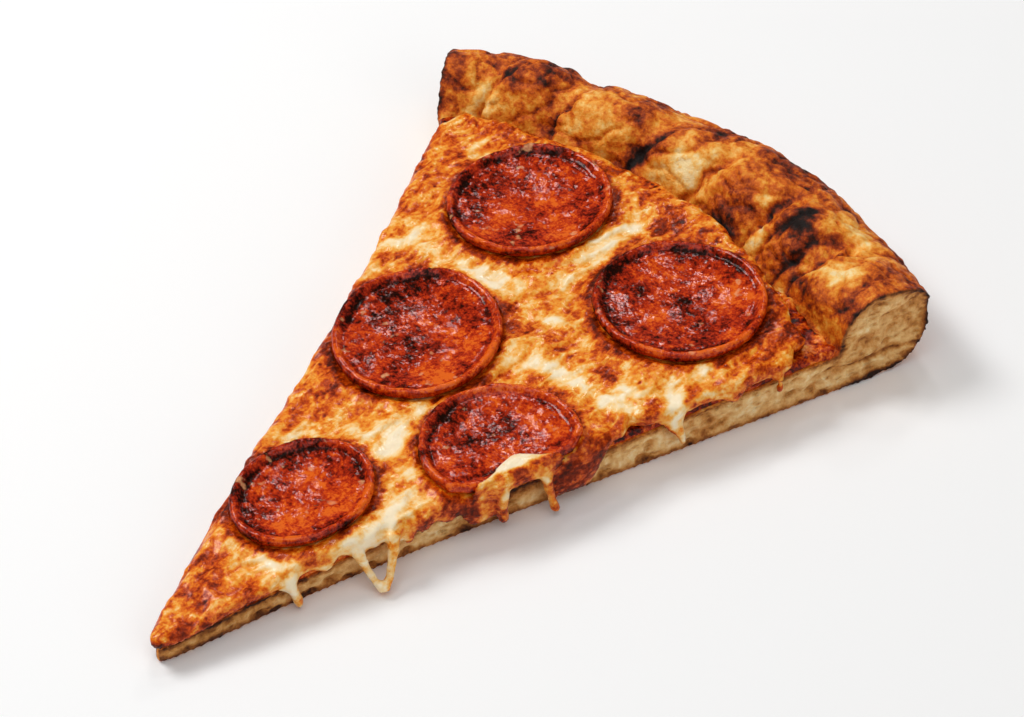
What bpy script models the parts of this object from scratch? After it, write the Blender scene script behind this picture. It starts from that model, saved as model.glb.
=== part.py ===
"""A slice of pepperoni pizza, lying flat: dough with a puffed rim, sauce, melted cheese that runs down over
both cuts, and five rounds of pepperoni. Metres, +Z up. The slice points along -Y, and its rim is at +Y.

All plan coordinates below count from the point where the two cuts would meet, the middle of the whole
pizza. r is a distance from that point and an angle is measured from the slice's own axis, positive to the
right.
"""

import math
from collections import namedtuple

import bmesh
import bpy
from mathutils import Vector, geometry, noise

# The whole slice
SLICE_LENGTH = 0.1994  # from the pizza's middle to the outside of the rim
ORIGIN_FROM_TIP = 0.105  # the part's origin lies this far up the slice, on its underside
TIP_START = 0.0060  # below this r the two cuts run together in a blunt tip
TIP_REACH = 0.0055
GAP = 0.0003  # between neighbouring solids

# Each cut: its side, its angle, how far it is bowed inwards, and how far it is moved outwards at the tip
# and at the rim
Cut = namedtuple("Cut", "side angle bow flare rim")
RIGHT = Cut(1, math.radians(21.2), 0.0003, 0.0036, 0.0002)
LEFT = Cut(-1, math.radians(19.5), 0.0047, -0.0024, 0.0046)
FLARE_LENGTH = 0.034

# Dough
BASE_AT_TIP = 0.0036  # thickness
BASE_AT_RIM = 0.0106
BASE_POWER = 0.8
FOOT_RADIUS = 0.1714  # the flat part ends here, at the foot of the rim
FOOT_DRIFT = 0.0062  # on the left the rim rises this much further out
CREST_RADIUS = 0.1868
RIM_HEIGHT = 0.0228
RIM_STEEPNESS = 0.85  # of its inner side, and steeper if lower
RIM_MIDDLE = 0.0125  # height of the rim's widest line
RIM_UNDERCUT = 0.0110  # the rim stands clear of the table over this width
# The rim is drawn in at its ends, by an angle, a width in radians and a distance
RIM_CORNERS = ((-19.5, 0.050, 0.0050), (21.2, 0.050, 0.0032))
# Near the right-hand cut it is narrower, and its inner side is steeper and has its crest further in
NARROW_FROM, NARROW_TO = math.radians(10), math.radians(17.5)
NARROWER = 0.0008
CREST_SHIFT = -0.0052
MIDDLE_SHIFT = 0.0028
STEEPNESS_SHIFT = -0.42
RIM_INNER_ROWS = 8
RIM_OUTER_ROWS = 6
RIM_COLUMNS = 51
WALL_ROWS = 4
PLAN_STEP = 0.0037  # spacing of the points along a cut
HIDDEN_STEP = 0.012  # spacing of the points where two layers meet
PORE_DEPTH = 0.0016

# Folds in the inner side of the rim: angle in degrees, depth
RIM_FOLDS = ((-15.6, 0.0016), (-10.0, 0.0038), (-2.3, 0.0036), (3.6, 0.0026), (9.8, 0.0034), (15.6, 0.0034))
RIM_FOLD_WIDTH = 0.0028
# Blisters on the rim: angle in degrees, r, height, radius
RIM_BLISTERS = (
    (-18.4, 0.183, 0.0014, 0.0065),
    (-12.9, 0.187, 0.0013, 0.0070),
    (-5.0, 0.182, 0.0015, 0.0085),
    (5.6, 0.179, 0.0014, 0.0070),
    (11.8, 0.181, 0.0016, 0.0080),
    (17.6, 0.184, 0.0012, 0.0065),
)
# Where the whole rim is larger: angle and width in degrees, extra radius, extra height
RIM_SWELLS = (
    (-20.0, 2.0, 0.0, -0.0014),
    (-14.0, 5.0, 0.0006, 0.0004),
    (-9.8, 1.5, -0.0018, -0.0008),
    (6.0, 6.5, 0.0030, 0.0016),
    (14.8, 3.2, -0.0018, -0.0005),
    (21.0, 4.0, 0.0, 0.0012),
)
# Large bubbles that the cut has opened in the rim: r, height, radius
RIM_BUBBLES = ((0.1925, 0.0155, 0.0034), (0.1850, 0.0105, 0.0028), (0.1805, 0.0160, 0.0024))

# Sauce
SAUCE_THICK = 0.0022
SAUCE_AT_TIP = 0.0010
SAUCE_INSET = 0.0009  # from the foot of the rim
SAUCE_BULGE = 0.0003  # beyond a cut

# Cheese
CHEESE_THICK = 0.0034
THIN_AT_TIP = 0.0016  # the cheese is this much thinner at the tip
THIN_LENGTH = 0.032
CHEESE_INSET = 0.0032  # from the foot of the rim
CORNER_INSET = 0.0048  # and this much more at the right-hand cut
CHEESE_END = 0.1605  # where it ends on the right-hand cut
CHEESE_END_LEFT = 0.1700
CHEESE_STEP = 0.0040
HANGING_LIP = 0.0012  # the least width of the lip where the cheese hangs down
EDGE_ROUND = 0.0016  # the top starts to fall this far inside the cut
LIPS = {"right": 0.0019, "left": 0.0013, "tip": 0.0007}  # how far the cheese stands out beyond a cut
RECESS = -0.0007  # but it lies back from the right-hand cut where it doesn't hang down
LEAST_SKIRTS = {"right": 0.0, "left": 0.0007, "tip": 0.0010}  # how far it hangs below its own underside
TIP_SKIRT_ENDS = (0.013, 0.020)  # the tip's skirt fades over this part of the right-hand cut
SWELL = 0.0008  # the cheese rises by this much against a round of pepperoni
SWELL_WIDTH = 0.0030
SEAT_CLEARANCE = 0.0006
EDGE_SLOPE = 1.3  # and it slopes up from below the edge of the round
# Where the cheese runs down a cut: r, depth, half width, and 1 for a pointed run, 2 for a round one and 4
# for a broad one
RIGHT_RUNS = (
    (0.0290, 0.0008, 0.0024, 2),
    (0.0338, 0.0026, 0.0020, 2),
    (0.0430, 0.0022, 0.0020, 2),
    (0.0505, 0.0030, 0.0018, 2),
    (0.0545, 0.0016, 0.0030, 2),
    (0.0595, 0.0034, 0.0024, 2),
    (0.0628, 0.0050, 0.0018, 2),
    (0.0665, 0.0032, 0.0030, 2),
    (0.0725, 0.0036, 0.0034, 2),
    (0.0800, 0.0074, 0.0048, 4),
    (0.0846, 0.0084, 0.0016, 2),
    (0.1030, 0.0088, 0.0072, 4),
    (0.0985, 0.0096, 0.0024, 2),
    (0.1280, 0.0046, 0.0022, 2),
    (0.1435, 0.0034, 0.0022, 1),
    (0.1545, 0.0026, 0.0016, 2),
)
LEFT_RUNS = (
    (0.030, 0.0022, 0.0050, 2),
    (0.0610, 0.0044, 0.0032, 1),
    (0.0800, 0.0016, 0.0060, 2),
    (0.1010, 0.0030, 0.0046, 2),
    (0.1260, 0.0052, 0.0030, 1),
    (0.1500, 0.0028, 0.0040, 2),
)
# Where the edge of the cheese lies further out, or further in: r, distance, half width
RIGHT_BAYS = (
    (0.0375, -0.0005, 0.0018),
    (0.0475, -0.0004, 0.0014),
    (0.0900, -0.0011, 0.0030),
    (0.1185, -0.0006, 0.0040),
    (0.1345, -0.0008, 0.0020),
    (0.1490, -0.0020, 0.0022),
    (0.1588, -0.0014, 0.0020),
    (0.1610, -0.0010, 0.0020),
)
LEFT_BAYS = (
    (0.0480, -0.0009, 0.0050),
    (0.0660, -0.0011, 0.0040),
    (0.0870, -0.0010, 0.0050),
    (0.1080, -0.0008, 0.0060),
    (0.1210, -0.0009, 0.0040),
)

# Strands and drips of cheese that hang from the right-hand cut. Each is a path of
# (r, distance beyond the cut, height, radius).
STRANDS = (
    (
        (0.0338, 0.0019, 0.0078, 0.0013),
        (0.0347, 0.0018, 0.0050, 0.0012),
        (0.0354, 0.0018, 0.0026, 0.0011),
        (0.0357, 0.0018, 0.0011, 0.0009),
    ),
    (
        (0.0497, 0.0014, 0.0098, 0.0016),
        (0.0504, 0.0022, 0.0078, 0.0013),
        (0.0511, 0.0033, 0.0055, 0.0010),
        (0.0520, 0.0058, 0.0032, 0.0009),
        (0.0532, 0.0076, 0.0016, 0.0013),
    ),
    (
        (0.0585, 0.0020, 0.0104, 0.0018),
        (0.0578, 0.0037, 0.0080, 0.0014),
        (0.0565, 0.0052, 0.0055, 0.0011),
        (0.0549, 0.0069, 0.0030, 0.0011),
        (0.0534, 0.0076, 0.0017, 0.0013),
    ),
    (
        (0.0845, 0.0034, 0.0110, 0.0014),
        (0.0846, 0.0031, 0.0085, 0.0013),
        (0.0848, 0.0027, 0.0055, 0.0012),
        (0.0851, 0.0023, 0.0030, 0.0014),
        (0.0853, 0.0021, 0.0018, 0.0010),
    ),
    (
        (0.0952, 0.0034, 0.0112, 0.0014),
        (0.0956, 0.0034, 0.0080, 0.0012),
        (0.0962, 0.0038, 0.0046, 0.0010),
        (0.0967, 0.0042, 0.0024, 0.0012),
        (0.0970, 0.0044, 0.0014, 0.0009),
    ),
    (
        (0.1285, 0.0021, 0.0095, 0.0014),
        (0.1295, 0.0019, 0.0066, 0.0011),
        (0.1301, 0.0018, 0.0040, 0.0007),
    ),
    (
        (0.1545, 0.0018, 0.0125, 0.0012),
        (0.1546, 0.0018, 0.0102, 0.0010),
        (0.1546, 0.0016, 0.0086, 0.0008),
    ),
)

# The cheese that has flowed over the straight edge of the cut round, by direction from the round's middle:
# degrees, share of the radius that it leaves bare, width beyond the edge, how far it hangs below the round
FLOW = (
    (-76, 0.95, 0.0010, 0.0018),
    (-69, 0.90, 0.0014, 0.0018),
    (-62, 0.77, 0.0018, 0.0028),
    (-56, 0.68, 0.0021, 0.0036),
    (-50, 0.62, 0.0021, 0.0036),
    (-43, 0.59, 0.0017, 0.0012),
    (-32, 0.55, 0.0014, 0.0003),
    (-20, 0.52, 0.0013, 0.0002),
    (-8, 0.54, 0.0014, 0.0003),
    (3, 0.60, 0.0016, 0.0010),
    (10, 0.66, 0.0020, 0.0028),
    (16, 0.74, 0.0020, 0.0034),
    (22, 0.86, 0.0016, 0.0024),
    (29, 0.95, 0.0010, 0.0018),
)
FLOW_THICK = 0.0010
STRAND_COLUMNS = 8

# Pepperoni: plan centre, half length, half width, direction of the length in degrees, seed, and if the
# right-hand cut goes through it
Round = namedtuple("Round", "name x y long short turn seed is_cut")
PEPPERONI = (
    Round("pepperoni_1", -0.0195, 0.1497, 0.0192, 0.0180, 74, 1.7, False),
    Round("pepperoni_2", 0.0281, 0.1447, 0.0195, 0.0188, 13, 3.1, False),
    Round("pepperoni_3", -0.0105, 0.1006, 0.0203, 0.0186, 113, 5.9, False),
    Round("pepperoni_4", 0.0262, 0.0857, 0.0178, 0.0174, 40, 8.3, True),
    Round("pepperoni_5", 0.0023, 0.0484, 0.0166, 0.0140, 83, 11.2, False),
)
PEPPERONI_THICK = 0.0020
PEPPERONI_CUP = 0.0022  # the edge has curled up by this much
CUP_POWER = 3.5
CHEESE_UNDER = 0.0022  # cheese left under a round of pepperoni
ROUND_COLUMNS = 28
CUT_EDGE_OUT = 0.0014  # the straight edge of the cut round lies this far beyond the cut
CUT_CORNER = 10  # the higher, the sharper its corners
DROOP_START = 0.0020  # the cut round starts to bend down this far inside the cut
DROOP_BEND = 0.010  # radius of that bend
DROOP_ANGLE = 0.30  # and the steepest that it gets, in radians

Finish = namedtuple("Finish", "colour roughness")
DOUGH = Finish((0.62, 0.36, 0.14), 0.75)
SAUCE = Finish((0.36, 0.05, 0.01), 0.4)
CHEESE = Finish((0.82, 0.52, 0.18), 0.35)
MEAT = Finish((0.42, 0.07, 0.02), 0.35)


def clear_scene():
    for obj in list(bpy.data.objects):
        bpy.data.objects.remove(obj)


def material(name, finish):
    made = bpy.data.materials.new(name)
    made.use_nodes = True
    shader = made.node_tree.nodes["Principled BSDF"]
    shader.inputs["Base Color"].default_value = (*finish.colour, 1)
    shader.inputs["Roughness"].default_value = finish.roughness
    shader.inputs["Metallic"].default_value = 0
    return made


def finished_object(name, bm, finish):
    """The bmesh, which counts from the point of the slice, as an object in the part's own frame."""
    bmesh.ops.recalc_face_normals(bm, faces=bm.faces)
    mesh = bpy.data.meshes.new(name)
    bm.to_mesh(mesh)
    bm.free()
    mesh.materials.append(material(name, finish))
    mesh.shade_smooth()
    mesh.set_sharp_from_angle(angle=math.radians(50))
    obj = bpy.data.objects.new(name, mesh)
    obj.location = (0, -ORIGIN_FROM_TIP, 0)
    bpy.context.scene.collection.objects.link(obj)
    return obj


def wave(x, y, size, seed):
    """A smooth random value from -1 to 1, whose swells are about size across."""
    return noise.noise(Vector((x / size, y / size, seed)))


def smooth_step(low, high, value):
    t = min(1.0, max(0.0, (value - low) / (high - low)))
    return t * t * (3 - 2 * t)


def steps(start, end, step):
    """Evenly spaced values from start to end, with both ends."""
    count = max(1, round(abs(end - start) / step))
    return [start + (end - start) * i / count for i in range(count + 1)]


def polar(r, angle):
    return Vector((r * math.sin(angle), r * math.cos(angle)))


def outward(cut):
    return Vector((cut.side * math.cos(cut.angle), -math.sin(cut.angle)))


def cut_offset(cut, r):
    """How far the cut lies outside the straight line at its angle."""
    tip = cut.flare * math.exp(-((r / FLARE_LENGTH) ** 2))
    rim = cut.rim * smooth_step(FOOT_RADIUS - 0.001, FOOT_RADIUS + 0.007, r)
    return tip + rim - cut.bow * math.sin(math.pi * r / SLICE_LENGTH)


def cut_direction(cut):
    return Vector((cut.side * math.sin(cut.angle), math.cos(cut.angle)))


def cut_point(cut, r, out=0.0):
    """The plan point r along a cut, moved out beyond it."""
    return cut_direction(cut) * r + outward(cut) * (out + cut_offset(cut, r))


def beyond(cut, x, y):
    """How far a plan point lies outside a cut."""
    return outward(cut).dot((x, y)) - cut_offset(cut, math.hypot(x, y))


def cut_angle(cut, r):
    """The signed angle of the cut at r."""
    point = cut_point(cut, r)
    return math.atan2(point.x, point.y)


def tip_point(share, out):
    """A plan point of the blunt tip, from the left-hand cut (share 0) to the right-hand one (share 1)."""
    ends = [cut_point(cut, TIP_START, out) for cut in (LEFT, RIGHT)]
    handles = [
        end - cut_direction(cut) * (TIP_REACH + 0.9 * out) for end, cut in zip(ends, (LEFT, RIGHT))
    ]
    weights = (1 - share) ** 3, 3 * share * (1 - share) ** 2, 3 * share ** 2 * (1 - share), share ** 3
    points = ends[0], handles[0], handles[1], ends[1]
    return sum((point * weight for point, weight in zip(points, weights)), Vector((0, 0)))


# Heights of the layers

def base_top(y):
    return BASE_AT_TIP + (BASE_AT_RIM - BASE_AT_TIP) * (max(0.0, y) / FOOT_RADIUS) ** BASE_POWER


def sauce_thickness(y):
    return SAUCE_AT_TIP + (SAUCE_THICK - SAUCE_AT_TIP) * smooth_step(0.01, 0.05, y)


def sauce_top(y):
    return base_top(y) + GAP + sauce_thickness(y)


def cheese_bottom(y):
    return sauce_top(y) + GAP


# Rim of the dough

def narrowing(angle):
    """From 0 over most of the rim to 1 near the right-hand cut."""
    return smooth_step(NARROW_FROM, NARROW_TO, angle)


def rim_outside(angle):
    """Radius of the rim's outer line, which is uneven."""
    drawn_in = NARROWER * narrowing(angle)
    for degrees, width, distance in RIM_CORNERS:
        drawn_in += distance * math.exp(-(((angle - math.radians(degrees)) / width) ** 2))
    uneven = 0.0014 * wave(angle, 0, 0.16, 4.2) + 0.0006 * wave(angle, 0, 0.05, 9.1)
    return SLICE_LENGTH + uneven + rim_swell(angle)[0] - drawn_in


def crest_radius(angle):
    return CREST_RADIUS + CREST_SHIFT * narrowing(angle)


def rim_middle(angle):
    """Height of the rim's widest line."""
    return RIM_MIDDLE + MIDDLE_SHIFT * narrowing(angle)


def rim_swell(angle):
    """Extra radius and extra height of the rim."""
    radius = height = 0.0
    for middle, width, wider, higher in RIM_SWELLS:
        share = math.exp(-(((math.degrees(angle) - middle) / width) ** 2))
        radius += wider * share
        height += higher * share
    return radius, height


def foot(angle):
    """Radius at which the rim rises out of the flat part."""
    return FOOT_RADIUS + FOOT_DRIFT * smooth_step(-0.33, 0.05, -angle) + 0.0005 * wave(angle, 0, 0.04, 4.4)


def rim_relief(r, angle):
    """Folds, blisters and swells of the rim's upper side."""
    x, y = polar(r, angle)
    rise = 0.0011 * wave(x, y, 0.018, 2.5) + 0.0005 * wave(x, y, 0.006, 6.5)
    inner_side = 1 - smooth_step(CREST_RADIUS - 0.004, CREST_RADIUS + 0.009, r)
    for degrees, depth in RIM_FOLDS:
        fold_angle = math.radians(degrees) + 3.0 * (r - CREST_RADIUS)
        rise -= depth * inner_side * math.exp(-(((angle - fold_angle) * r / RIM_FOLD_WIDTH) ** 2))
    for degrees, blister_r, height, radius in RIM_BLISTERS:
        distance = (Vector((x, y)) - polar(blister_r, math.radians(degrees))).length
        rise += height * math.exp(-((distance / radius) ** 2))
    return rise


def dough_top(r, angle):
    flat = base_top(r * math.cos(angle))
    start, crest_r = foot(angle), crest_radius(angle)
    if r <= start:
        return flat
    crest = RIM_HEIGHT + 0.0008 * wave(angle, 0, 0.22, 7.7) + rim_swell(angle)[1]
    if r < crest_r:
        t = (r - start) / (crest_r - start)
        power = RIM_STEEPNESS + STEEPNESS_SHIFT * narrowing(angle)
        height = flat + (crest - flat) * (1 - (1 - t) ** 2) ** power
        return height + rim_relief(r, angle) * smooth_step(0, 0.35, t)
    t = min(1.0, (r - crest_r) / (rim_outside(angle) - crest_r))
    round_off = math.sqrt(1 - t * t)
    return rim_middle(angle) + (crest - rim_middle(angle) + rim_relief(r, angle)) * round_off


def dough_bottom(r, angle):
    lift = rim_outside(angle) - RIM_UNDERCUT
    if r <= lift:
        return 0.0
    t = min(1.0, (r - lift) / RIM_UNDERCUT)
    return rim_middle(angle) * (1 - math.sqrt(1 - t * t))


def rim_rows(angle):
    """The radii of the rim's rows at this angle, closer together where the rim turns down."""
    crest_r = crest_radius(angle)
    shares = [(i / RIM_INNER_ROWS) ** 1.2 for i in range(1, RIM_INNER_ROWS + 1)]
    inner = [FOOT_RADIUS + (crest_r - FOOT_RADIUS) * share for share in shares]
    width = rim_outside(angle) - crest_r
    quarter = math.pi / 2
    outer = [crest_r + width * math.sin(quarter * i / RIM_OUTER_ROWS) for i in range(1, RIM_OUTER_ROWS + 1)]
    return inner + outer


def crumb(cut, r, z):
    """How deep the torn crumb of a cut face goes in at this place."""
    in_rim = smooth_step(FOOT_RADIUS - 0.006, FOOT_RADIUS + 0.008, r)
    depth = (0.00025 + 0.0005 * in_rim) * (1 + wave(r, z * 1.6, 0.0042, 3.0 + cut.side))
    for bubble_r, bubble_z, radius in RIM_BUBBLES:
        distance = math.hypot(r - bubble_r, z - bubble_z + 0.001 * cut.side)
        depth += PORE_DEPTH * math.exp(-((distance / radius) ** 2))
    return depth


# Plan outlines and meshes

Station = namedtuple("Station", "part at")


def stations(right_radii, back_angles, left_radii, tip_count):
    """Places round a layer's outline: the right cut, the rim from right to left, the left cut, the tip."""
    found = [Station("right", r) for r in right_radii]
    found += [Station("back", angle) for angle in back_angles]
    found += [Station("left", r) for r in reversed(left_radii)]
    found += [Station("tip", i / (tip_count + 1)) for i in range(1, tip_count + 1)]
    return found


def station_point(station, back_radius, out=0.0):
    """The plan point of a station, moved outwards."""
    if station.part == "back":
        return polar(back_radius(station.at) + out, station.at)
    if station.part == "tip":
        return tip_point(station.at, out)
    return cut_point(RIGHT if station.part == "right" else LEFT, station.at, out)


def inside(point, loop):
    """True if a plan point lies inside a closed outline."""
    found = False
    for (ax, ay), (bx, by) in zip(loop, loop[1:] + loop[:1]):
        if (ay > point.y) != (by > point.y) and point.x < (bx - ax) * (point.y - ay) / (by - ay) + ax:
            found = not found
    return found


def honeycomb(loop, step, margin):
    """Evenly spread points inside an outline, no closer to its own points than the margin."""
    found = []
    row = 0
    y = min(p[1] for p in loop)
    while y < max(p[1] for p in loop):
        x = min(p[0] for p in loop) + (step / 2 if row % 2 else 0)
        while x < max(p[0] for p in loop):
            point = Vector((x, y))
            if min((point - Vector(p)).length for p in loop) > margin and inside(point, loop):
                found.append(point)
            x += step
        y += step * math.sqrt(0.75)
        row += 1
    return found


def triangulated(loop, rings, points):
    """Triangles that fill an outline, as (all plan points, faces). The outline's points come first."""
    everything = list(loop)
    edges = [(i, (i + 1) % len(loop)) for i in range(len(loop))]
    for ring in rings:
        first = len(everything)
        edges += [(first + i, first + (i + 1) % len(ring)) for i in range(len(ring))]
        everything += ring
    everything += points
    plan, _, faces, came_from, _, _ = geometry.delaunay_2d_cdt(everything, edges, [], 1, 1e-7)
    number = {i: old[0] if old else i for i, old in enumerate(came_from)}
    ordered = dict(zip(number.values(), plan))
    assert len(ordered) == len(everything), "two plan points fell together"
    return [ordered[i] for i in range(len(everything))], [[number[i] for i in face] for face in faces]


def fill(bm, rim_verts, plan, faces, height):
    """Adds the triangles of one side of a layer. rim_verts are the vertices of its outline."""
    verts = list(rim_verts)
    for point in plan[len(rim_verts):]:
        verts.append(bm.verts.new((point.x, point.y, height(point.x, point.y))))
    for face in faces:
        bm.faces.new([verts[i] for i in face])


def skin(bm, first, second, closed=True):
    """Joins two rows of vertices with quads, leaving out edges that they share."""
    count = len(first)
    for i in range(count if closed else count - 1):
        j = (i + 1) % count
        corners = []
        for vert in (first[i], first[j], second[j], second[i]):
            if vert not in corners:
                corners.append(vert)
        if len(corners) > 2:
            bm.faces.new(corners)


def row_of(bm, points):
    return [bm.verts.new(p) for p in points]


# Dough

def dough_outline():
    """Stations of the dough's flat part. Its corners are the first and last columns of the rim."""
    radii = steps(TIP_START, FOOT_RADIUS, PLAN_STEP)
    ends = cut_angle(RIGHT, FOOT_RADIUS), cut_angle(LEFT, FOOT_RADIUS)
    angles = [ends[0] + (ends[1] - ends[0]) * i / RIM_COLUMNS for i in range(RIM_COLUMNS + 1)]
    return stations(radii, angles[1:-1], radii, 3), len(radii)


def build_dough():
    bm = bmesh.new()
    outline, per_cut = dough_outline()
    loop = [station_point(s, lambda angle: FOOT_RADIUS) for s in outline]
    plan, faces = triangulated(loop, [], honeycomb(loop, HIDDEN_STEP, HIDDEN_STEP * 0.6))
    top = row_of(bm, [(p.x, p.y, base_top(p.y)) for p in loop])
    bottom = row_of(bm, [(p.x, p.y, 0) for p in loop])
    fill(bm, top, plan, faces, lambda x, y: base_top(y))
    fill(bm, bottom, plan, faces, lambda x, y: 0)

    # The rim goes outwards from the flat part in rows, over its top and under its underside.
    foot = range(per_cut - 1, per_cut + RIM_COLUMNS)
    row_count = RIM_INNER_ROWS + RIM_OUTER_ROWS
    over, under = [[top[i] for i in foot]], [[bottom[i] for i in foot]]
    shares = [i / RIM_COLUMNS for i in range(RIM_COLUMNS + 1)]
    for row in range(row_count):
        upper, lower = [], []
        for share in shares:
            nominal = RIGHT.angle - (RIGHT.angle + LEFT.angle) * share
            r = rim_rows(nominal)[row]
            right, left = cut_angle(RIGHT, r), cut_angle(LEFT, r)
            point = polar(r, right + (left - right) * share)
            upper.append(bm.verts.new((*point, dough_top(r, nominal))))
            if row < row_count - 1:
                lower.append(bm.verts.new((*point, dough_bottom(r, nominal))))
        over.append(upper)
        under.append(lower or upper)
    for inner, outer in zip(over, over[1:]):
        skin(bm, inner, outer, closed=False)
    for inner, outer in zip(under, under[1:]):
        skin(bm, inner, outer, closed=False)

    # The cut faces are columns from the underside to the top, roughened like crumb.
    right_top = top[:per_cut] + [row[0] for row in over[1:]]
    right_bottom = bottom[:per_cut] + [row[0] for row in under[1:]]
    left_end = per_cut + RIM_COLUMNS - 1
    left_top = top[left_end:left_end + per_cut][::-1] + [row[-1] for row in over[1:]]
    left_bottom = bottom[left_end:left_end + per_cut][::-1] + [row[-1] for row in under[1:]]
    for cut, uppers, lowers in ((RIGHT, right_top, right_bottom), (LEFT, left_top, left_bottom)):
        cut_wall(bm, cut, uppers, lowers)

    tip = [len(loop) - 4 + i for i in range(1, 4)]
    ring = [per_cut + RIM_COLUMNS - 1 + per_cut - 1, *tip, 0]
    for i, j in zip(ring, ring[1:]):
        bm.faces.new((top[i], top[j], bottom[j], bottom[i]))
    return finished_object("dough", bm, DOUGH)


def cut_wall(bm, cut, uppers, lowers):
    """Fills a cut between its two edges. The last column, at the rim's outside, is one vertex."""
    columns = []
    for number, (upper, lower) in enumerate(zip(uppers, lowers)):
        if upper is lower:
            columns.append([upper])
            continue
        column = [lower]
        for i in range(1, WALL_ROWS):
            if number == 0:
                break
            place = lower.co.lerp(upper.co, i / WALL_ROWS)
            r = place.xy.length
            inwards = outward(cut) * -crumb(cut, r, place.z)
            column.append(bm.verts.new((place.x + inwards.x, place.y + inwards.y, place.z)))
        column.append(upper)
        columns.append(column)
    for first, second in zip(columns, columns[1:]):
        strip(bm, first, second)


def strip(bm, first, second):
    """Joins two neighbouring columns, which may differ in their number of vertices."""
    i = j = 0
    while i < len(first) - 1 or j < len(second) - 1:
        next_i = (i + 1) / max(1, len(first) - 1) if i < len(first) - 1 else 2
        next_j = (j + 1) / max(1, len(second) - 1) if j < len(second) - 1 else 2
        if next_i <= next_j:
            bm.faces.new((first[i], first[i + 1], second[j]))
            i += 1
        else:
            bm.faces.new((first[i], second[j + 1], second[j]))
            j += 1


# Sauce

def sauce_back(angle):
    return foot(angle) - SAUCE_INSET * (1.6 + 0.9 * wave(angle, 0, 0.05, 5.5))


def build_sauce():
    bm = bmesh.new()
    right = steps(TIP_START, FOOT_RADIUS - 2 * SAUCE_INSET, 0.0045)
    left = steps(TIP_START, FOOT_RADIUS + FOOT_DRIFT - 3 * SAUCE_INSET, 0.0055)
    angles = steps(cut_angle(RIGHT, right[-1]), cut_angle(LEFT, left[-1]), 0.028)[1:-1]
    outline = stations(right, angles, left, 3)
    middle = [station_point(s, sauce_back, -SAUCE_BULGE) for s in outline]
    edge = []
    for station in outline:
        bulge = 0.5 * SAUCE_BULGE * (1 + wave(station.at, 0, 0.012, 3.3))
        out = {"back": 0.0, "tip": -SAUCE_BULGE / 2}.get(station.part, bulge)
        edge.append(station_point(station, sauce_back, out))
    plan, faces = triangulated(middle, [], honeycomb(middle, HIDDEN_STEP, HIDDEN_STEP * 0.6))
    upper = row_of(bm, [(p.x, p.y, sauce_top(p.y)) for p in middle])
    belly = row_of(bm, [(p.x, p.y, sauce_top(p.y) - sauce_thickness(p.y) / 2) for p in edge])
    lower = row_of(bm, [(p.x, p.y, base_top(p.y) + GAP) for p in middle])
    fill(bm, upper, plan, faces, lambda x, y: sauce_top(y))
    fill(bm, lower, plan, faces, lambda x, y: base_top(y) + GAP)
    skin(bm, upper, belly)
    skin(bm, belly, lower)
    return finished_object("sauce", bm, SAUCE)


# Pepperoni

def reach(item, x, y):
    """How far out a plan point is on a round, 0 at its middle and 1 at its edge, and the edge's radius."""
    dx, dy = x - item.x, y - item.y
    distance = math.hypot(dx, dy)
    direction = math.atan2(dy, dx)
    edge = edge_radius(item, direction)
    return distance / edge, edge


def full_radius(item, direction):
    """Radius of a round as it was before the slice was cut."""
    turn = direction - math.radians(item.turn)
    ellipse = 1 / math.hypot(math.cos(turn) / item.long, math.sin(turn) / item.short)
    wobble = wave(math.cos(direction), math.sin(direction), 0.9, item.seed)
    return ellipse * (1 + 0.018 * wobble)


def edge_radius(item, direction):
    """Radius of a round, up to its straight edge if it is cut."""
    radius = full_radius(item, direction)
    facing = math.cos(direction + RIGHT.angle)
    if not item.is_cut or facing < 0.05:
        return radius
    straight = (CUT_EDGE_OUT - beyond(RIGHT, item.x, item.y)) / facing
    return (radius ** -CUT_CORNER + straight ** -CUT_CORNER) ** (-1 / CUT_CORNER)


def seat_height(item):
    return cheese_bottom(item.y) + CHEESE_UNDER


def tilt(item, x, y):
    """A round lies along the sloping top of the slice."""
    return cheese_bottom(y) - cheese_bottom(item.y)


def droop(item, out):
    """The cut round at a distance beyond the cut: how far down it has bent, how far out, and its slope."""
    length = out + DROOP_START
    if not item.is_cut or length <= 0:
        return 0.0, out, 0.0
    angle = min(DROOP_ANGLE, length / DROOP_BEND)
    rest = max(0.0, length - DROOP_BEND * DROOP_ANGLE)
    drop = DROOP_BEND * (1 - math.cos(angle)) + rest * math.sin(angle)
    return drop, -DROOP_START + DROOP_BEND * math.sin(angle) + rest * math.cos(angle), angle


def pepperoni_under(item, radius, direction):
    """Height of the underside above its seat: cupped, more in some directions than in others."""
    uneven = 1 + 0.30 * wave(math.cos(direction), math.sin(direction), 0.7, item.seed + 20)
    return PEPPERONI_CUP * uneven * (radius / full_radius(item, direction)) ** CUP_POWER


def drooped_point(item, radius, direction, z):
    """A point of a round of pepperoni, bent over the right-hand cut. z is its height above the seat."""
    x, y = item.x + radius * math.cos(direction), item.y + radius * math.sin(direction)
    out = beyond(RIGHT, x, y)
    drop, new_out, angle = droop(item, out)
    side = outward(RIGHT) * (new_out - out + z * math.sin(angle))
    height = seat_height(item) + tilt(item, x, y) - drop + z * math.cos(angle)
    return Vector((x + side.x, y + side.y, height))


# Profile of a round from the middle of its top, over its edge, to the middle of its underside:
# share of the radius, extra radius, share of the thickness
ROUND_PROFILE = (
    (0.30, 0.0, 1.00),
    (0.60, 0.0, 1.00),
    (0.82, 0.0, 1.02),
    (0.94, 0.0, 1.10),
    (1.00, -0.0003, 1.02),
    (1.00, 0.0003, 0.55),
    (1.00, 0.0, 0.06),
    (0.90, 0.0, 0.0),
    (0.72, 0.0, 0.0),
    (0.40, 0.0, 0.0),
)


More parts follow.
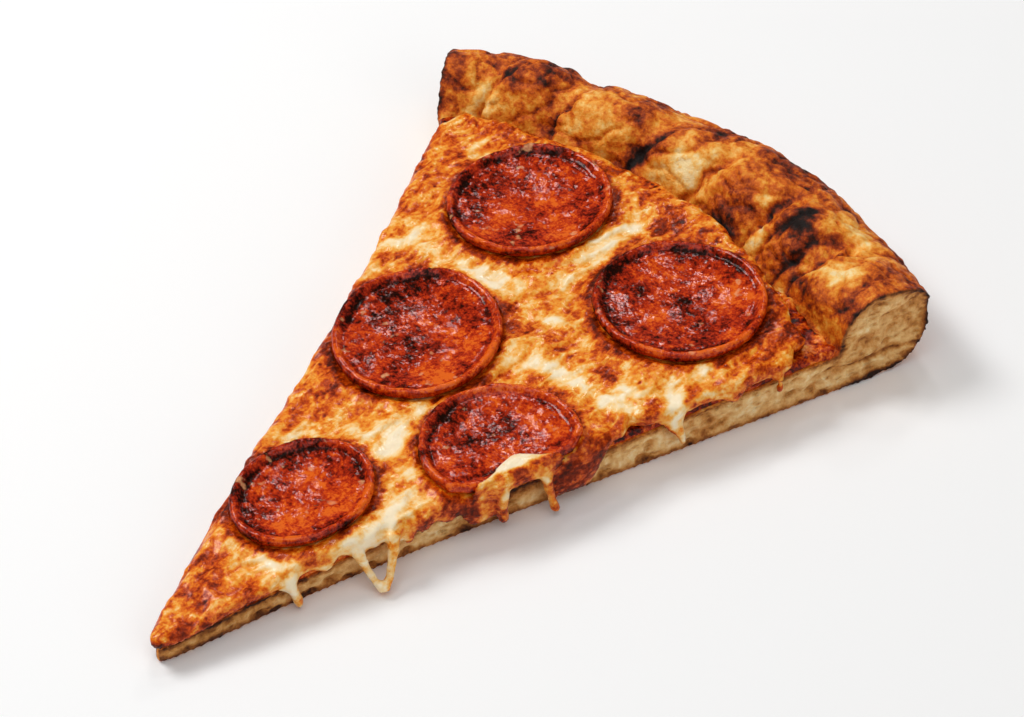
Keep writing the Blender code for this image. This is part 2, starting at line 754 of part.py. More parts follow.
def build_pepperoni(item):
    bm = bmesh.new()
    rings = []
    for share, extra, thick in ROUND_PROFILE:
        ring = []
        for i in range(ROUND_COLUMNS):
            direction = 2 * math.pi * i / ROUND_COLUMNS
            radius = edge_radius(item, direction) * share
            swell = 0.00025 * wave(share * math.cos(direction), share * math.sin(direction), 0.5, item.seed)
            z = pepperoni_under(item, radius, direction) + PEPPERONI_THICK * thick + swell * (thick > 0.9)
            ring.append(bm.verts.new(drooped_point(item, radius + extra, direction, z)))
        rings.append(ring)
    for first, second in zip(rings, rings[1:]):
        skin(bm, first, second)
    for ring, z in ((rings[0], PEPPERONI_THICK), (rings[-1], 0.0)):
        middle = bm.verts.new(drooped_point(item, 0, 0, z))
        for a, b in zip(ring, ring[1:] + ring[:1]):
            bm.faces.new((a, b, middle))
    return finished_object(item.name, bm, MEAT)


# Cheese

def cheese_back(angle):
    """Radius where the cheese ends near the rim. It draws back at the right, where sauce shows."""
    corner = CORNER_INSET * smooth_step(math.radians(11), math.radians(20), angle)
    uneven = 0.0020 * wave(angle, 0, 0.09, 1.3) + 0.0010 * wave(angle, 0, 0.03, 8.8)
    ends = smooth_step(0, 0.05, RIGHT.angle - angle) * smooth_step(0, 0.05, LEFT.angle + angle)
    return foot(angle) - CHEESE_INSET - corner + uneven * ends


def cheese_relief(x, y):
    """Lumps and strands of the melted cheese."""
    lumps = 0.0009 * wave(x, y, 0.015, 0.4) + 0.0005 * wave(x, y, 0.007, 2.9)
    strands = 0.00035 * wave(x * 0.8 + y * 0.5, (y - x * 0.6) * 0.35, 0.005, 7.1)
    return lumps + strands


def cheese_top(x, y):
    thinning = THIN_AT_TIP * math.exp(-((math.hypot(x, y) / THIN_LENGTH) ** 2))
    height = cheese_bottom(y) + CHEESE_THICK - thinning + cheese_relief(x, y)
    highest = math.inf
    for item in PEPPERONI:
        share, edge = reach(item, x, y)
        away = (share - 1) * edge
        if away > 2 * SWELL_WIDTH:
            continue
        height += SWELL * math.exp(-((away / SWELL_WIDTH) ** 2))
        direction = math.atan2(y - item.y, x - item.x)
        seat = seat_height(item) + tilt(item, x, y) - droop(item, beyond(RIGHT, x, y))[0]
        seat += pepperoni_under(item, min(share, 1) * edge, direction) - SEAT_CLEARANCE
        highest = min(highest, seat + EDGE_SLOPE * max(0.0, away))
    return min(height, highest)


def skirt_depth(part, at):
    """How far the cheese hangs below its own underside at a station."""
    if part == "back":
        return 0.0
    if part == "tip":
        return LEAST_SKIRTS["tip"]
    if part == "left":
        runs, end = LEFT_RUNS, CHEESE_END_LEFT
        least = LEAST_SKIRTS["left"] + 0.0004 * (1 + wave(at, 0, 0.008, 6.1))
    else:
        runs, end = RIGHT_RUNS, CHEESE_END
        least = LEAST_SKIRTS["right"]
    least += (LEAST_SKIRTS["tip"] - least) * (1 - smooth_step(*TIP_SKIRT_ENDS, at))
    deepest = max(depth * math.exp(-(abs((at - r) / width) ** power)) for r, depth, width, power in runs)
    return max(least, deepest) * (1 - smooth_step(end - 0.008, end, at))


def bay(station):
    """How far the edge of the cheese is moved outwards at a station."""
    bays = {"right": RIGHT_BAYS, "left": LEFT_BAYS}.get(station.part, ())
    return sum(distance * math.exp(-(((station.at - r) / width) ** 2)) for r, distance, width in bays)


def lip_width(station, depth):
    """How far the cheese stands out beyond the dough at a station."""
    if station.part == "back":
        return 0.0009
    if station.part == "tip":
        return LIPS["tip"]
    lip = LIPS[station.part] * (1 + 0.35 * wave(station.at, 0, 0.011, 9.9))
    lip = RECESS + (lip - RECESS) * smooth_step(0, 0.0012, depth)
    lip = LIPS["tip"] + (lip - LIPS["tip"]) * smooth_step(TIP_START, 0.018, station.at)
    return lip + bay(station) + 0.10 * depth


# Cross-section of the cheese's edge, from its top to the lowest point of its skirt:
# share of the height, share of the way out from the top's edge to the lip
LIP_PROFILE = ((0.07, 0.55), (0.28, 0.95), (0.58, 1.0), (0.86, 0.88))


def cheese_rows(outline):
    """Rows of points round the edge of the cheese, from its top, over the lip and back to its underside."""
    rows = [[] for _ in range(len(LIP_PROFILE) + 4)]
    depths = [skirt_depth(station.part, station.at) for station in outline]
    for number, (station, depth) in enumerate(zip(outline, depths)):
        lip = lip_width(station, depth)
        inner = min(-0.0011, lip - 0.0006)
        hangs = max(depths[number - 1], depth, depths[(number + 1) % len(depths)]) > 0.0001
        if hangs:
            lip = max(lip, HANGING_LIP)
            inner = GAP + SAUCE_BULGE
        edge = station_point(station, cheese_back, min(0.0, lip) - EDGE_ROUND)
        back_up = station_point(station, cheese_back, inner)
        lowest = station_point(station, cheese_back, (lip + inner) / 2)
        z_top = cheese_top(edge.x, edge.y)
        z_bottom = cheese_bottom(back_up.y)
        height = z_top - z_bottom + depth
        rows[0].append((edge.x, edge.y, z_top))
        start = min(0.0, lip) - EDGE_ROUND
        for row, (down, out) in zip(rows[1:], LIP_PROFILE):
            place = station_point(station, cheese_back, start + (lip - start) * out)
            row.append((place.x, place.y, z_top - height * down))
        raised = 0.0001 * (1 - min(1.0, depth / 0.0004))
        rows[-3].append((lowest.x, lowest.y, cheese_bottom(lowest.y) - depth + raised))
        rows[-2].append((back_up.x, back_up.y, z_bottom - 0.6 * depth + raised / 2))
        inset = station_point(station, cheese_back, inner - 0.0004)
        rows[-1].append((inset.x, inset.y, cheese_bottom(inset.y)))
    return rows


def run_radii(runs, end):
    """Stations along a cut, close together where the cheese runs down and wide apart elsewhere."""
    found = [TIP_START]
    while found[-1] < end:
        nearest = min(abs(found[-1] - r) / width for r, _, width, _ in runs)
        found.append(found[-1] + 0.0012 + 0.0018 * smooth_step(0.4, 1.8, nearest))
    return found[:-1] + [end]


# Rings of points under and round a round of pepperoni: share of its radius, distance beyond that, count
RINGS = ((0.42, 0, 7), (0.70, 0, 14), (0.87, 0, 24), (1, -0.0002, 32), (1, 0.0011, 32), (1, 0.0031, 26))


def pepperoni_rings(loop):
    """Rings of plan points under and round each pepperoni, so that the cheese follows its edge."""
    rings, loose = [], []
    for item in PEPPERONI:
        loose.append(Vector((item.x, item.y)))
        for share, extra, count in RINGS:
            ring = []
            for i in range(count):
                direction = 2 * math.pi * (i + 0.5) / count
                radius = edge_radius(item, direction) * share + extra
                away = Vector((math.cos(direction), math.sin(direction))) * radius
                ring.append(Vector((item.x, item.y)) + away)
            room = [p for p in ring if inside(p, loop) and min((p - q).length for q in loop) > 0.0012]
            for other in PEPPERONI:
                if other is not item:
                    room = [p for p in room if reach(other, *p)[0] > 1 or share < 1 or extra < 0]
            if len(room) == count and extra < 0.002:
                rings.append(ring)
            else:
                loose += room
    return rings, loose


def cheese_sheet():
    bm = bmesh.new()
    right, left = run_radii(RIGHT_RUNS, CHEESE_END), run_radii(LEFT_RUNS, CHEESE_END_LEFT)
    angles = steps(cut_angle(RIGHT, CHEESE_END), cut_angle(LEFT, CHEESE_END_LEFT), 0.021)[1:-1]
    outline = stations(right, angles, left, 3)
    rows = cheese_rows(outline)
    top_loop = [Vector(p[:2]) for p in rows[0]]
    rings, loose = pepperoni_rings(top_loop)
    taken = [p for ring in rings for p in ring] + loose
    grid = []
    for point in honeycomb(top_loop, CHEESE_STEP, CHEESE_STEP * 0.6):
        nearest = min((reach(item, *point)[0] - 1) * item.long for item in PEPPERONI)
        if nearest > -0.0030 and min((point - q).length for q in taken) > CHEESE_STEP * 0.62:
            grid.append(point)
    plan, faces = triangulated(top_loop, rings, loose + grid)
    verts = [row_of(bm, row) for row in rows]
    fill(bm, verts[0], plan, faces, cheese_top)
    bottom_loop = [Vector(p[:2]) for p in rows[-1]]
    plan, faces = triangulated(bottom_loop, [], honeycomb(bottom_loop, HIDDEN_STEP, HIDDEN_STEP * 0.6))
    fill(bm, verts[-1], plan, faces, lambda x, y: cheese_bottom(y))
    for first, second in zip(verts, verts[1:]):
        skin(bm, first, second)
    return bm


def tube(path):
    """A closed round strand through (point, radius) places, with rounded ends."""
    bm = bmesh.new()
    points = [point for point, _ in path]
    first = points[0] + (points[0] - points[1]).normalized() * path[0][1] * 0.5
    last = points[-1] + (points[-1] - points[-2]).normalized() * path[-1][1] * 0.8
    rings = []
    for i, (point, radius) in enumerate(path):
        ahead = points[min(i + 1, len(points) - 1)] - points[max(i - 1, 0)]
        turn = Vector((0, 0, 1)).rotation_difference(ahead)
        ring = []
        for k in range(STRAND_COLUMNS):
            angle = 2 * math.pi * k / STRAND_COLUMNS
            ring.append(bm.verts.new(point + turn @ Vector((math.cos(angle), math.sin(angle), 0)) * radius))
        rings.append(ring)
    for a, b in zip(rings, rings[1:]):
        skin(bm, a, b)
    for ring, place in ((rings[0], first), (rings[-1], last)):
        middle = bm.verts.new(place)
        for a, b in zip(ring, ring[1:] + ring[:1]):
            bm.faces.new((a, b, middle))
    return bm


def strand(path):
    places = []
    for r, out, height, radius in path:
        point = cut_point(RIGHT, r, out)
        places.append((Vector((point.x, point.y, height)), radius))
    return tube(places)


def flow_section(item, direction, bare, width, hang):
    """Points round the cheese that wraps the edge of a round, as (radius, height above the seat)."""
    edge = edge_radius(item, direction)
    below = pepperoni_under(item, edge, direction)
    above = below + PEPPERONI_THICK + 0.00045
    found = []
    for i in range(4):
        share = bare + (0.995 - bare) * i / 3
        lift = 0.00045 + (0.00015 if share > 0.9 else 0)
        found.append((edge * share, pepperoni_under(item, edge * share, direction) + PEPPERONI_THICK + lift))
    found += [
        (edge + 0.00065, above - 0.0007),
        (edge + 0.00070, below - 0.8 * hang),
        (edge + 0.00070 + 0.5 * width, below - hang - 0.0003),
        (edge + 0.00070 + width, below - 0.3 * hang),
        (edge + 0.00070 + 0.75 * width, above + 0.1 * FLOW_THICK),
        (edge + 0.0003, above + 0.9 * FLOW_THICK),
    ]
    inner = edge * (bare + (0.995 - bare) * 0.35)
    lift = 0.00045 + FLOW_THICK
    found.append((inner, pepperoni_under(item, inner, direction) + PEPPERONI_THICK + lift))
    found.append((edge * bare - 0.0003, found[0][1] + 0.0004))
    return found


def flow_over(item):
    """The cheese that has flowed over the straight edge of the cut round."""
    bm = bmesh.new()
    rings = []
    for degrees, bare, width, hang in FLOW:
        direction = math.radians(degrees)
        section = flow_section(item, direction, bare, width, hang)
        rings.append([bm.verts.new(drooped_point(item, radius, direction, z)) for radius, z in section])
    for a, b in zip(rings, rings[1:]):
        skin(bm, a, b)
    for ring in (rings[0], rings[-1]):
        bm.faces.new(ring)
    return bm


def build_cheese():
    """One solid: the sheet with its skirts, the strands, and the cheese over the cut round."""
    cheese = finished_object("cheese", cheese_sheet(), CHEESE)
    pieces = [strand(path) for path in STRANDS]
    pieces += [flow_over(item) for item in PEPPERONI if item.is_cut]
    group = bpy.data.collections.new("cheese pieces")
    bpy.context.scene.collection.children.link(group)
    for number, piece in enumerate(pieces):
        obj = finished_object(f"cheese_piece_{number}", piece, CHEESE)
        bpy.context.scene.collection.objects.unlink(obj)
        group.objects.link(obj)
    union = cheese.modifiers.new("join", "BOOLEAN")
    union.operation = "UNION"
    union.operand_type = "COLLECTION"
    union.collection = group
    union.solver = "EXACT"
    evaluated = cheese.evaluated_get(bpy.context.evaluated_depsgraph_get())
    joined = bpy.data.meshes.new_from_object(evaluated)
    cheese.modifiers.clear()
    cheese.data = joined
    for obj in list(group.objects):
        bpy.data.objects.remove(obj)
    return cheese


def main():
    clear_scene()
    build_dough()
    build_sauce()
    build_cheese()
    for item in PEPPERONI:
        build_pepperoni(item)


main()
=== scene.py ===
"""Looks of the slice of pepperoni pizza: finely meshed food with baked, melted and oily surfaces, soft light
from the upper left and a white ground. Metres, +Z up.

Places on the slice count from the point where its two cuts would meet. r is the distance from there, and an
angle is measured from the slice's own axis, positive to the right. The tables of places are in millimetres.

Each food has a tone at each point, where 0 gives the palest of its colours and 1 the darkest. A seed is a
number that picks one of the patterns of a kind of noise.
"""

import itertools
import math
from types import SimpleNamespace

import bmesh
import bpy
import numpy as np
from mathutils import Matrix, Vector, kdtree


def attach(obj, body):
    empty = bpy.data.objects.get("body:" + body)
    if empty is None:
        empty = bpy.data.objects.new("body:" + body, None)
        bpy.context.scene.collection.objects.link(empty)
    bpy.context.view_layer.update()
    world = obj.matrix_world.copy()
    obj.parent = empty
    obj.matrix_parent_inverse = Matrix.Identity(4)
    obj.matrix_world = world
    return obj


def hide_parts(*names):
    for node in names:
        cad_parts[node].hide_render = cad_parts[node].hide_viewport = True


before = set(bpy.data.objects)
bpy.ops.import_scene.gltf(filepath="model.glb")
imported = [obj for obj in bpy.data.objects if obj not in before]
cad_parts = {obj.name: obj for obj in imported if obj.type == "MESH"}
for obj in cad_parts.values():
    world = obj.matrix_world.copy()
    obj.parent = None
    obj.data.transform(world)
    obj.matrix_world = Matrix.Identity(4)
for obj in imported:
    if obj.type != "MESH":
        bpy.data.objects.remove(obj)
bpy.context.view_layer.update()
scene = bpy.context.scene

MM = 0.001
ORIGIN_FROM_TIP = 0.105  # the frame's origin lies this far up the slice

# Camera
CAMERA_AZIMUTH = math.radians(39.96)
CAMERA_ELEVATION = math.radians(42.0)
CAMERA_DISTANCE = 0.9425
CAMERA_TARGET = Vector((0.00647, 0.00773, 0.010))
FOCAL_LENGTH = 150
SENSOR_WIDTH = 36

# Angles of the cuts, in radians
RIGHT_CUT = math.radians(21.2)
LEFT_CUT = math.radians(19.5)

# r of the rim's foot, crest and outside, and of the end of the cheese, where the sauce begins to show
RIM_FOOT = 0.1714
RIM_CREST = 0.1868
RIM_OUTSIDE = 0.197
SAUCE_HIDDEN = 0.160
SAUCE_SHOWS = 0.168

# Height of the dough's flat top at the tip, and how much higher it is at the rim
TOP_AT_TIP = 0.0036
TOP_RISE = 0.0070

# How far inside the planes of the cuts the cut faces may lie, from surely to at most
CUT_FACE_DEPTHS = (0.011, 0.014)

# The fold in the rim's cut faces, and where cheese has flowed down over the right-hand cut, under which the
# crumb is painted darker as shade
FOLD_HEIGHT = 0.0056
FOLD_WIDTH = 0.0005
FLOW_R = 0.091
FLOW_WIDTH = 0.009

# The raised edge, the groove and the pale band just inside the edge of a round of pepperoni, which is a
# painted highlight: how far inside its outline they lie, and how wide they are, in millimetres
RIDGE = (1.0, 0.75)
GROOVE = (2.7, 0.75)
LIP_HIGHLIGHT = (1.3, 0.6)
ROUND_PATTERN_STEP = 0.05  # how far apart in the noise two rounds lie

# Spacing of the points of each kind of food, and rounds of smoothing
FINENESS = {"dough": (0.00062, 3), "cheese": (0.00052, 3), "sauce": (0.00055, 2), "pepperoni": (0.00042, 2)}

# Patches on the cheese: x, y, half length, half width, direction of the length in degrees, strength
PALE_CHEESE = (
    (32, 83, 9.5, 3.6, 69, 1.0),
    (37, 87, 3, 3, 69, 0.8),
    (22, 49, 6.5, 5, 69, 0.9),
    (49, 120, 3, 2.5, 69, 0.9),
    (2.3, 151.5, 11, 3.5, 92, 1.0),
    (4.3, 136.5, 7, 3.0, 75, 0.7),
    (-10.7, 125.5, 14, 3.5, 5, 0.9),
    (-32.7, 126.5, 6, 3.0, 60, 0.7),
    (-36.7, 145.5, 9, 2.0, 70, 0.6),
    (21.3, 111.5, 12, 3.2, 5, 0.9),
    (9.3, 110.5, 6, 4.0, 60, 0.6),
    (35.3, 115.5, 5, 2.5, 20, 0.8),
    (44.3, 121.5, 6, 2.6, 120, 1.0),
    (47.3, 130.5, 4, 2.5, 90, 0.7),
    (6.3, 73.5, 7, 4.0, 70, 1.0),
    (3.3, 82.5, 6, 2.5, 80, 0.7),
    (15.3, 68.5, 5, 2.5, 150, 0.8),
    (21.3, 56.5, 8, 3.5, 100, 1.0),
    (17.8, 46.1, 6, 2.5, 80, 0.8),
    (25.8, 46.1, 5, 2.0, 140, 0.9),
    (5.8, 30.1, 9, 2.6, 8, 0.9),
    (15.8, 30.1, 5, 2.2, 150, 0.9),
    (-11.7, 60.5, 4, 2.0, 100, 0.4),
    (37.3, 74.5, 6, 2.0, 120, 0.9),
    (29.3, 75.5, 4, 2.0, 160, 0.9),
    (45.3, 80.5, 6, 1.6, 110, 0.7),
    (-41.2, 158.8, 5, 2.8, 60, 0.9),
    (35.5, 111, 5, 3.5, 40, 1.0),
    (-4.1, 122.9, 4.5, 2.4, 40, 0.7),
    (10.0, 125.0, 3.5, 2.2, 30, 0.8),
    (53.5, 123.3, 4, 3.0, 90, 0.8),
    (0.5, 70.8, 4, 2.5, 60, 0.7),
    (38.4, 117.9, 4, 2.5, 30, 0.7),
)
TOASTED_CHEESE = (
    (1.8, 17.1, 8, 5.0, 90, 0.75),
    (8.8, 21.1, 5, 3.0, 100, 0.5),
    (4.8, 5.1, 7, 4.0, 90, 0.7),
    (-9.2, 23.1, 6, 2.0, 110, 0.6),
    (-18.7, 70.5, 9, 4.0, 115, 0.55),
    (-7.7, 77.5, 5, 3.0, 90, 0.4),
    (-40.7, 161.5, 8, 5.0, 120, 0.6),
    (-34.7, 168.5, 8, 3.0, 10, 0.5),
    (-28.7, 134.5, 6, 2.5, 60, 0.45),
    (7.3, 166.5, 7, 4.0, 100, 0.65),
    (13.3, 163.5, 4, 4.0, 80, 0.5),
    (46.3, 148.5, 4, 9.0, 0, 0.55),
    (41.3, 98.5, 3.0, 9.0, 10, 0.8),
    (34.3, 107.5, 4, 2.5, 150, 0.45),
    (47.3, 110.5, 3, 7.0, 10, 0.7),
    (29.3, 60.5, 3, 7.0, 20, 0.75),
    (26.8, 37.1, 4, 3.0, 60, 0.45),
    (11.3, 58.5, 3, 3.0, 90, 0.3),
    (10.3, 128.5, 5, 2.5, 20, 0.45),
    (-22.7, 123.5, 3, 2.0, 20, 0.5),
    (-0.7, 119.5, 3, 1.6, 60, 0.6),
    (53.3, 155.5, 5, 6.0, 20, 1.0),
    (54, 144, 3.5, 3.5, 0, 0.6),
    (-9.4, 129.3, 2.2, 1.6, 60, 0.7),
    (6.4, 134.7, 5, 2.4, 75, 0.7),
    (0.6, 29.1, 4.5, 2.0, 20, 0.5),
    (-56.2, 156, 5, 3, 60, 0.5),
)

# Char on the rim and its pale patches: angle in degrees, r, radius, strength
CHAR = (
    (-12.9, 187, 8.0, 0.65),
    (-19.2, 185, 4.0, 0.40),
    (-4.3, 184, 6.5, 0.50),
    (5.0, 178, 6.0, 0.50),
    (11.3, 182, 5.5, 0.95),
    (-16.0, 193, 6.0, 0.3),
    (1.0, 192, 6.0, 0.2),
    (17.6, 188, 5.0, 0.30),
    (15.1, 183, 4.0, 0.35),
)
PALE_CRUST = (
    (-16.6, 181.5, 4.5, 1.2),
    (-9.8, 182, 5.5, 0.6),
    (-7.0, 178, 5.5, 0.5),
    (0.2, 182, 6.5, 0.85),
    (8.2, 174.5, 4.5, 1.0),
    (8.0, 180, 2.6, 1.0),
    (17.3, 179.5, 4.5, 1.0),
    (-1.9, 178.5, 4.0, 0.7),
    (14.0, 192, 6.0, 0.5),
    (-13.0, 178, 4.0, 0.5),
)
# Creases on the rim: angle in degrees
CREASES = (-15.6, -10.0, -2.3, 2.9, 9.2, 11.6, 14.4, 15.9)

# Colours by tone: place from 0 to 1, and red, green and blue from 0 to 255
CHEESE_COLOURS = (
    (0.00, 255, 236, 200),
    (0.16, 253, 212, 144),
    (0.31, 246, 168, 60),
    (0.47, 232, 120, 18),
    (0.63, 198, 70, 4),
    (0.80, 134, 38, 3),
    (1.00, 72, 20, 4),
)
SKIN_COLOURS = (
    (0.00, 255, 228, 168),
    (0.18, 252, 196, 104),
    (0.36, 240, 152, 46),
    (0.53, 212, 98, 14),
    (0.70, 146, 50, 6),
    (0.86, 66, 23, 7),
    (1.00, 22, 11, 7),
)
CRUMB_COLOURS = (
    (0.00, 255, 228, 176),
    (0.22, 240, 192, 124),
    (0.45, 210, 144, 72),
    (0.65, 160, 94, 36),
    (0.85, 92, 46, 15),
    (1.00, 40, 19, 8),
)
MEAT_COLOURS = (
    (0.00, 228, 100, 20),
    (0.22, 202, 62, 4),
    (0.44, 168, 36, 0),
    (0.66, 108, 18, 0),
    (0.86, 52, 11, 3),
    (1.00, 28, 8, 3),
)
SAUCE_COLOURS = (
    (0.00, 246, 160, 66),
    (0.30, 222, 100, 18),
    (0.56, 168, 46, 3),
    (0.80, 96, 16, 2),
    (1.00, 44, 10, 4),
)
# Colour of the pale flecks on the pepperoni, which are partly fatty flecks and partly painted glints
FAT_AND_GLINT_COLOUR = (250, 176, 122)

# Scattered bumps: how many, the smallest and the largest radius, and a seed
CHEESE_BLISTERS = (90, 0.0010, 0.0024, 9)
CRUST_BLISTERS = (160, 0.0012, 0.0036, 18)
SAUCE_BEADS = (130, 0.0009, 0.0022, 49)
MEAT_DENTS = (46, 0.0006, 0.0016, 37)
CRUMB_PORES = (230, 0.0006, 0.0016, 34)
RIM_PORES_LARGER = 1.4

# Heights of each kind of relief, in metres
CHEESE_RELIEF = {"lumps": 0.00050, "threads": 0.00042, "small": 0.00014, "blisters": 0.00040}
SKIN_RELIEF = {
    "lumps": 0.00050,
    "wrinkles": -0.00065,
    "small": 0.00022,
    "blisters": 0.00045,
    "folds": -0.00055,
    "creases": -0.0009,
}
CRUMB_RELIEF = {"rough": 0.00018, "fine": 0.00010, "pores": -0.0011, "fold": -0.0004}
UNDERSIDE_RELIEF = 0.00008
SAUCE_RELIEF = {"lumps": 0.00045, "small": 0.00020, "beads": 0.00080}
MEAT_RELIEF = {"lumps": 0.00018, "small": 0.00006, "ridge": 0.00030, "groove": -0.00028, "dents": -0.00026}

# How much each thing adds to a tone
# The band around each round of pepperoni is partly oil and partly painted shade
CHEESE_TONE = {
    "base": 0.46,
    "broad": 0.15,
    "lumps": 0.13,
    "threads": -0.22,
    "small": -0.08,
    "toasted": 0.38,
    "pale": -0.50,
    "ring": 0.50,
    "blisters": 0.18,
    "left_edge": 0.20,
}
DARKEST_CHEESE = 0.76
# The cheese is a little darker on its sides, with streaks, and darker underneath, which is painted shade
CHEESE_SIDE_TONE = {"side": 0.04, "streaks": 0.12, "under": 0.25}
# The creases, wrinkles and folds are sunk into the skin and painted darker, as shade
SKIN_TONE = {
    "base": 0.43,
    "broad": 0.14,
    "lumps": 0.08,
    "char": 0.50,
    "pale": -0.38,
    "wrinkles": 0.14,
    "creases": 0.34,
    "folds": 0.18,
    "blisters": 0.12,
    "foot": 0.30,
    "outside": 0.10,
}
UNDERSIDE_TONE = {"base": 0.34, "broad": 0.10, "spots": 0.34}
# Under the topping the crumb is darker, partly stained by sauce and partly painted shade, and darker still
# under the cheese that flows over the right-hand cut and in its pores, which is painted shade
CRUMB_TONE = {
    "base": 0.25,
    "broad": 0.12,
    "low": 0.32,
    "pores": 0.26,
    "stain": 0.30,
    "flow_stain": 0.25,
    "tip": 0.22,
    "rim": -0.11,
    "above_fold": 0.17,
    "specks": 0.30,
    "edge": 0.12,
    "rim_edge": 0.55,
    "fold": 0.38,
}
SKIN_EDGE_TONE = 0.25
# The lumps and beads of the sauce are painted paler, as highlights on the wet sauce
SAUCE_TONE = {"base": 0.58, "lumps": -0.22, "broad": 0.10, "beads": -0.35}
# The groove and the dents are painted darker, as shade, and the raised edge paler, as a highlight
MEAT_DARKNESS = {
    "outer_edge": 0.5,
    "groove": 0.45,
    "lumps": 0.30,
    "dents": 0.35,
    "charred": 0.65,
    "leftward": 0.30,
    "ridge": -0.15,
}

# Lights: name, azimuth and elevation in degrees, distance, side and power. The glints are small ones behind
# the slice, which shine on its oily surfaces.
LIGHTS = (
    ("key", 285, 50, 1.1, 0.40, 6.2),
    ("top", 30, 74, 1.3, 1.0, 4.0),
    ("front", 75, 28, 1.3, 0.9, 2.6),
    ("glint_1", 204, 37, 1.3, 0.13, 0.8),
    ("glint_2", 224, 50, 1.3, 0.13, 0.8),
    ("glint_3", 214, 68, 1.3, 0.13, 0.8),
)
WORLD_COLOUR = (1.0, 0.99, 0.97, 1)
WORLD_STRENGTH = 0.24
GROUND_COLOUR = (0.97, 0.97, 0.97, 1)
GROUND_HALF_SIZE = 4.0
GROUND_DROP = 0.0002  # keeps the ground clear of the food's underside


def srgb(red, green, blue):
    """A screen colour of 0 to 255 as a linear one."""
    return tuple(
        (c / 255 / 12.92) if c <= 10 else ((c / 255 + 0.055) / 1.055) ** 2.4 for c in (red, green, blue)
    ) + (1.0,)


# Noise and masks on arrays of points

GRADIENTS = np.random.default_rng(11).normal(size=(256, 3))
GRADIENTS /= np.linalg.norm(GRADIENTS, axis=1)[:, None]
CELL_PRIMES = (73856093, 19349663, 83492791)
MIXING_PRIME = 668265263
SEED_STEP = 7.31  # how many swells apart the patterns of two neighbouring seeds lie
SWELL_HEIGHT = 1.6
RIDGE_SHARPNESS = 2.2


def swells(points, size, seed, stretch=(1, 1, 1)):
    """Smooth random values from about -1 to 1, in swells about size across, longer where stretched."""
    place = points / (size * np.array(stretch)) + seed * SEED_STEP
    cell = np.floor(place).astype(np.int64)
    inside = place - cell
    ease = inside ** 3 * (inside * (inside * 6 - 15) + 10)
    height = np.zeros(len(points))
    for corner in itertools.product((0, 1), repeat=3):
        at = cell + corner
        key = np.bitwise_xor.reduce(at * CELL_PRIMES, axis=1)
        key = ((key ^ (key >> 11)) * MIXING_PRIME) >> 7
        slope = GRADIENTS[key & 255]
        weight = np.prod(np.where(np.array(corner) == 1, ease, 1 - ease), axis=1)
        height += weight * np.sum(slope * (inside - corner), axis=1)
    return height * SWELL_HEIGHT


def bell(value, width):
    """1 where the value is 0, falling towards 0 within about two widths on either side."""
    return np.exp(-((value / width) ** 2))


def weighted(weights, **parts):
    """The sum of named parts, each times its weight."""
    return sum(weights[name] * part for name, part in parts.items())


def ridges(points, size, seed, stretch=(1, 1, 1)):
    """Random values from 0 to 1 that are highest along thin, winding lines."""
    return 1 - np.clip(np.abs(swells(points, size, seed, stretch)) * RIDGE_SHARPNESS, 0, 1)


def smooth_step(low, high, value):
    """0 up to low and 1 from high on, or the other way round where high is the smaller one."""
    t = np.clip((value - low) / (high - low), 0, 1)
    return t * t * (3 - 2 * t)


def patches(plan, table):
    """How strongly each plan point lies in one of the patches of a table."""
    found = np.zeros(len(plan))
    for x, y, long, wide, turn, strength in table:
        away = plan / MM - (x, y)
        angle = math.radians(turn)
        along = away @ (math.cos(angle), math.sin(angle))
        across = away @ (-math.sin(angle), math.cos(angle))
        found = np.maximum(found, strength * np.exp(-((along / long) ** 2) - (across / wide) ** 2))
    return found


def rim_patches(plan, table):
    """The same for a table of places on the rim."""
    rows = []
    for degrees, r, radius, strength in table:
        angle = math.radians(degrees)
        across_rim = radius * 0.8
        rows.append((r * math.sin(angle), r * math.cos(angle), radius, across_rim, -degrees, strength))
    return patches(plan, rows)


def ragged(points, amount, size, seed):
    """Plan points that are shifted at random, so that patches get ragged edges."""
    shift = np.stack([swells(points, size, seed), swells(points, size, seed + 1)], axis=1)
    return points[:, :2] + amount * shift


# Pieces

class Piece:
    """A finely meshed copy of a node: its points and normals, and its places on the slice."""

    def __init__(self, node, kind):
        """kind is a name in FINENESS."""
        self.node = node
        self.obj = fine_copy(node, *FINENESS[kind])
        self.refresh()

    def refresh(self):
        """Reads the points again after the mesh has changed."""
        mesh = self.obj.data
        count = len(mesh.vertices)
        self.points = read(mesh.vertices, "co", count)
        self.normals = read(mesh.vertices, "normal", count)
        self.places = self.points + (0, ORIGIN_FROM_TIP, 0)
        self.r = np.hypot(self.places[:, 0], self.places[:, 1])
        self.angle = np.arctan2(self.places[:, 0], self.places[:, 1])

    def raise_by(self, amount):
        """Moves the surface out by an amount at each point, and keeps it above the ground."""
        moved = self.points + self.normals * amount[:, None]
        moved[:, 2] = np.maximum(moved[:, 2], 0.0)
        self.obj.data.vertices.foreach_set("co", moved.ravel())
        self.obj.data.update()
        self.refresh()

    def give(self, name, values):
        """Stores a value for each point, which a material reads by its name."""
        attribute = self.obj.data.attributes.new(name, "FLOAT", "POINT")
        attribute.data.foreach_set("value", values.astype(np.float32))

    def finish(self, material):
        """Gives the piece its material, and puts it in the place of its node."""
        self.obj.data.materials.clear()
        self.obj.data.materials.append(material)
        self.obj.data.shade_smooth()
        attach(self.obj, "root")
        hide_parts(self.node)


def read(collection, name, count):
    """The vectors of a mesh's points, as rows of three."""
    values = np.empty(count * 3)
    collection.foreach_get(name, values)
    return values.reshape(-1, 3)


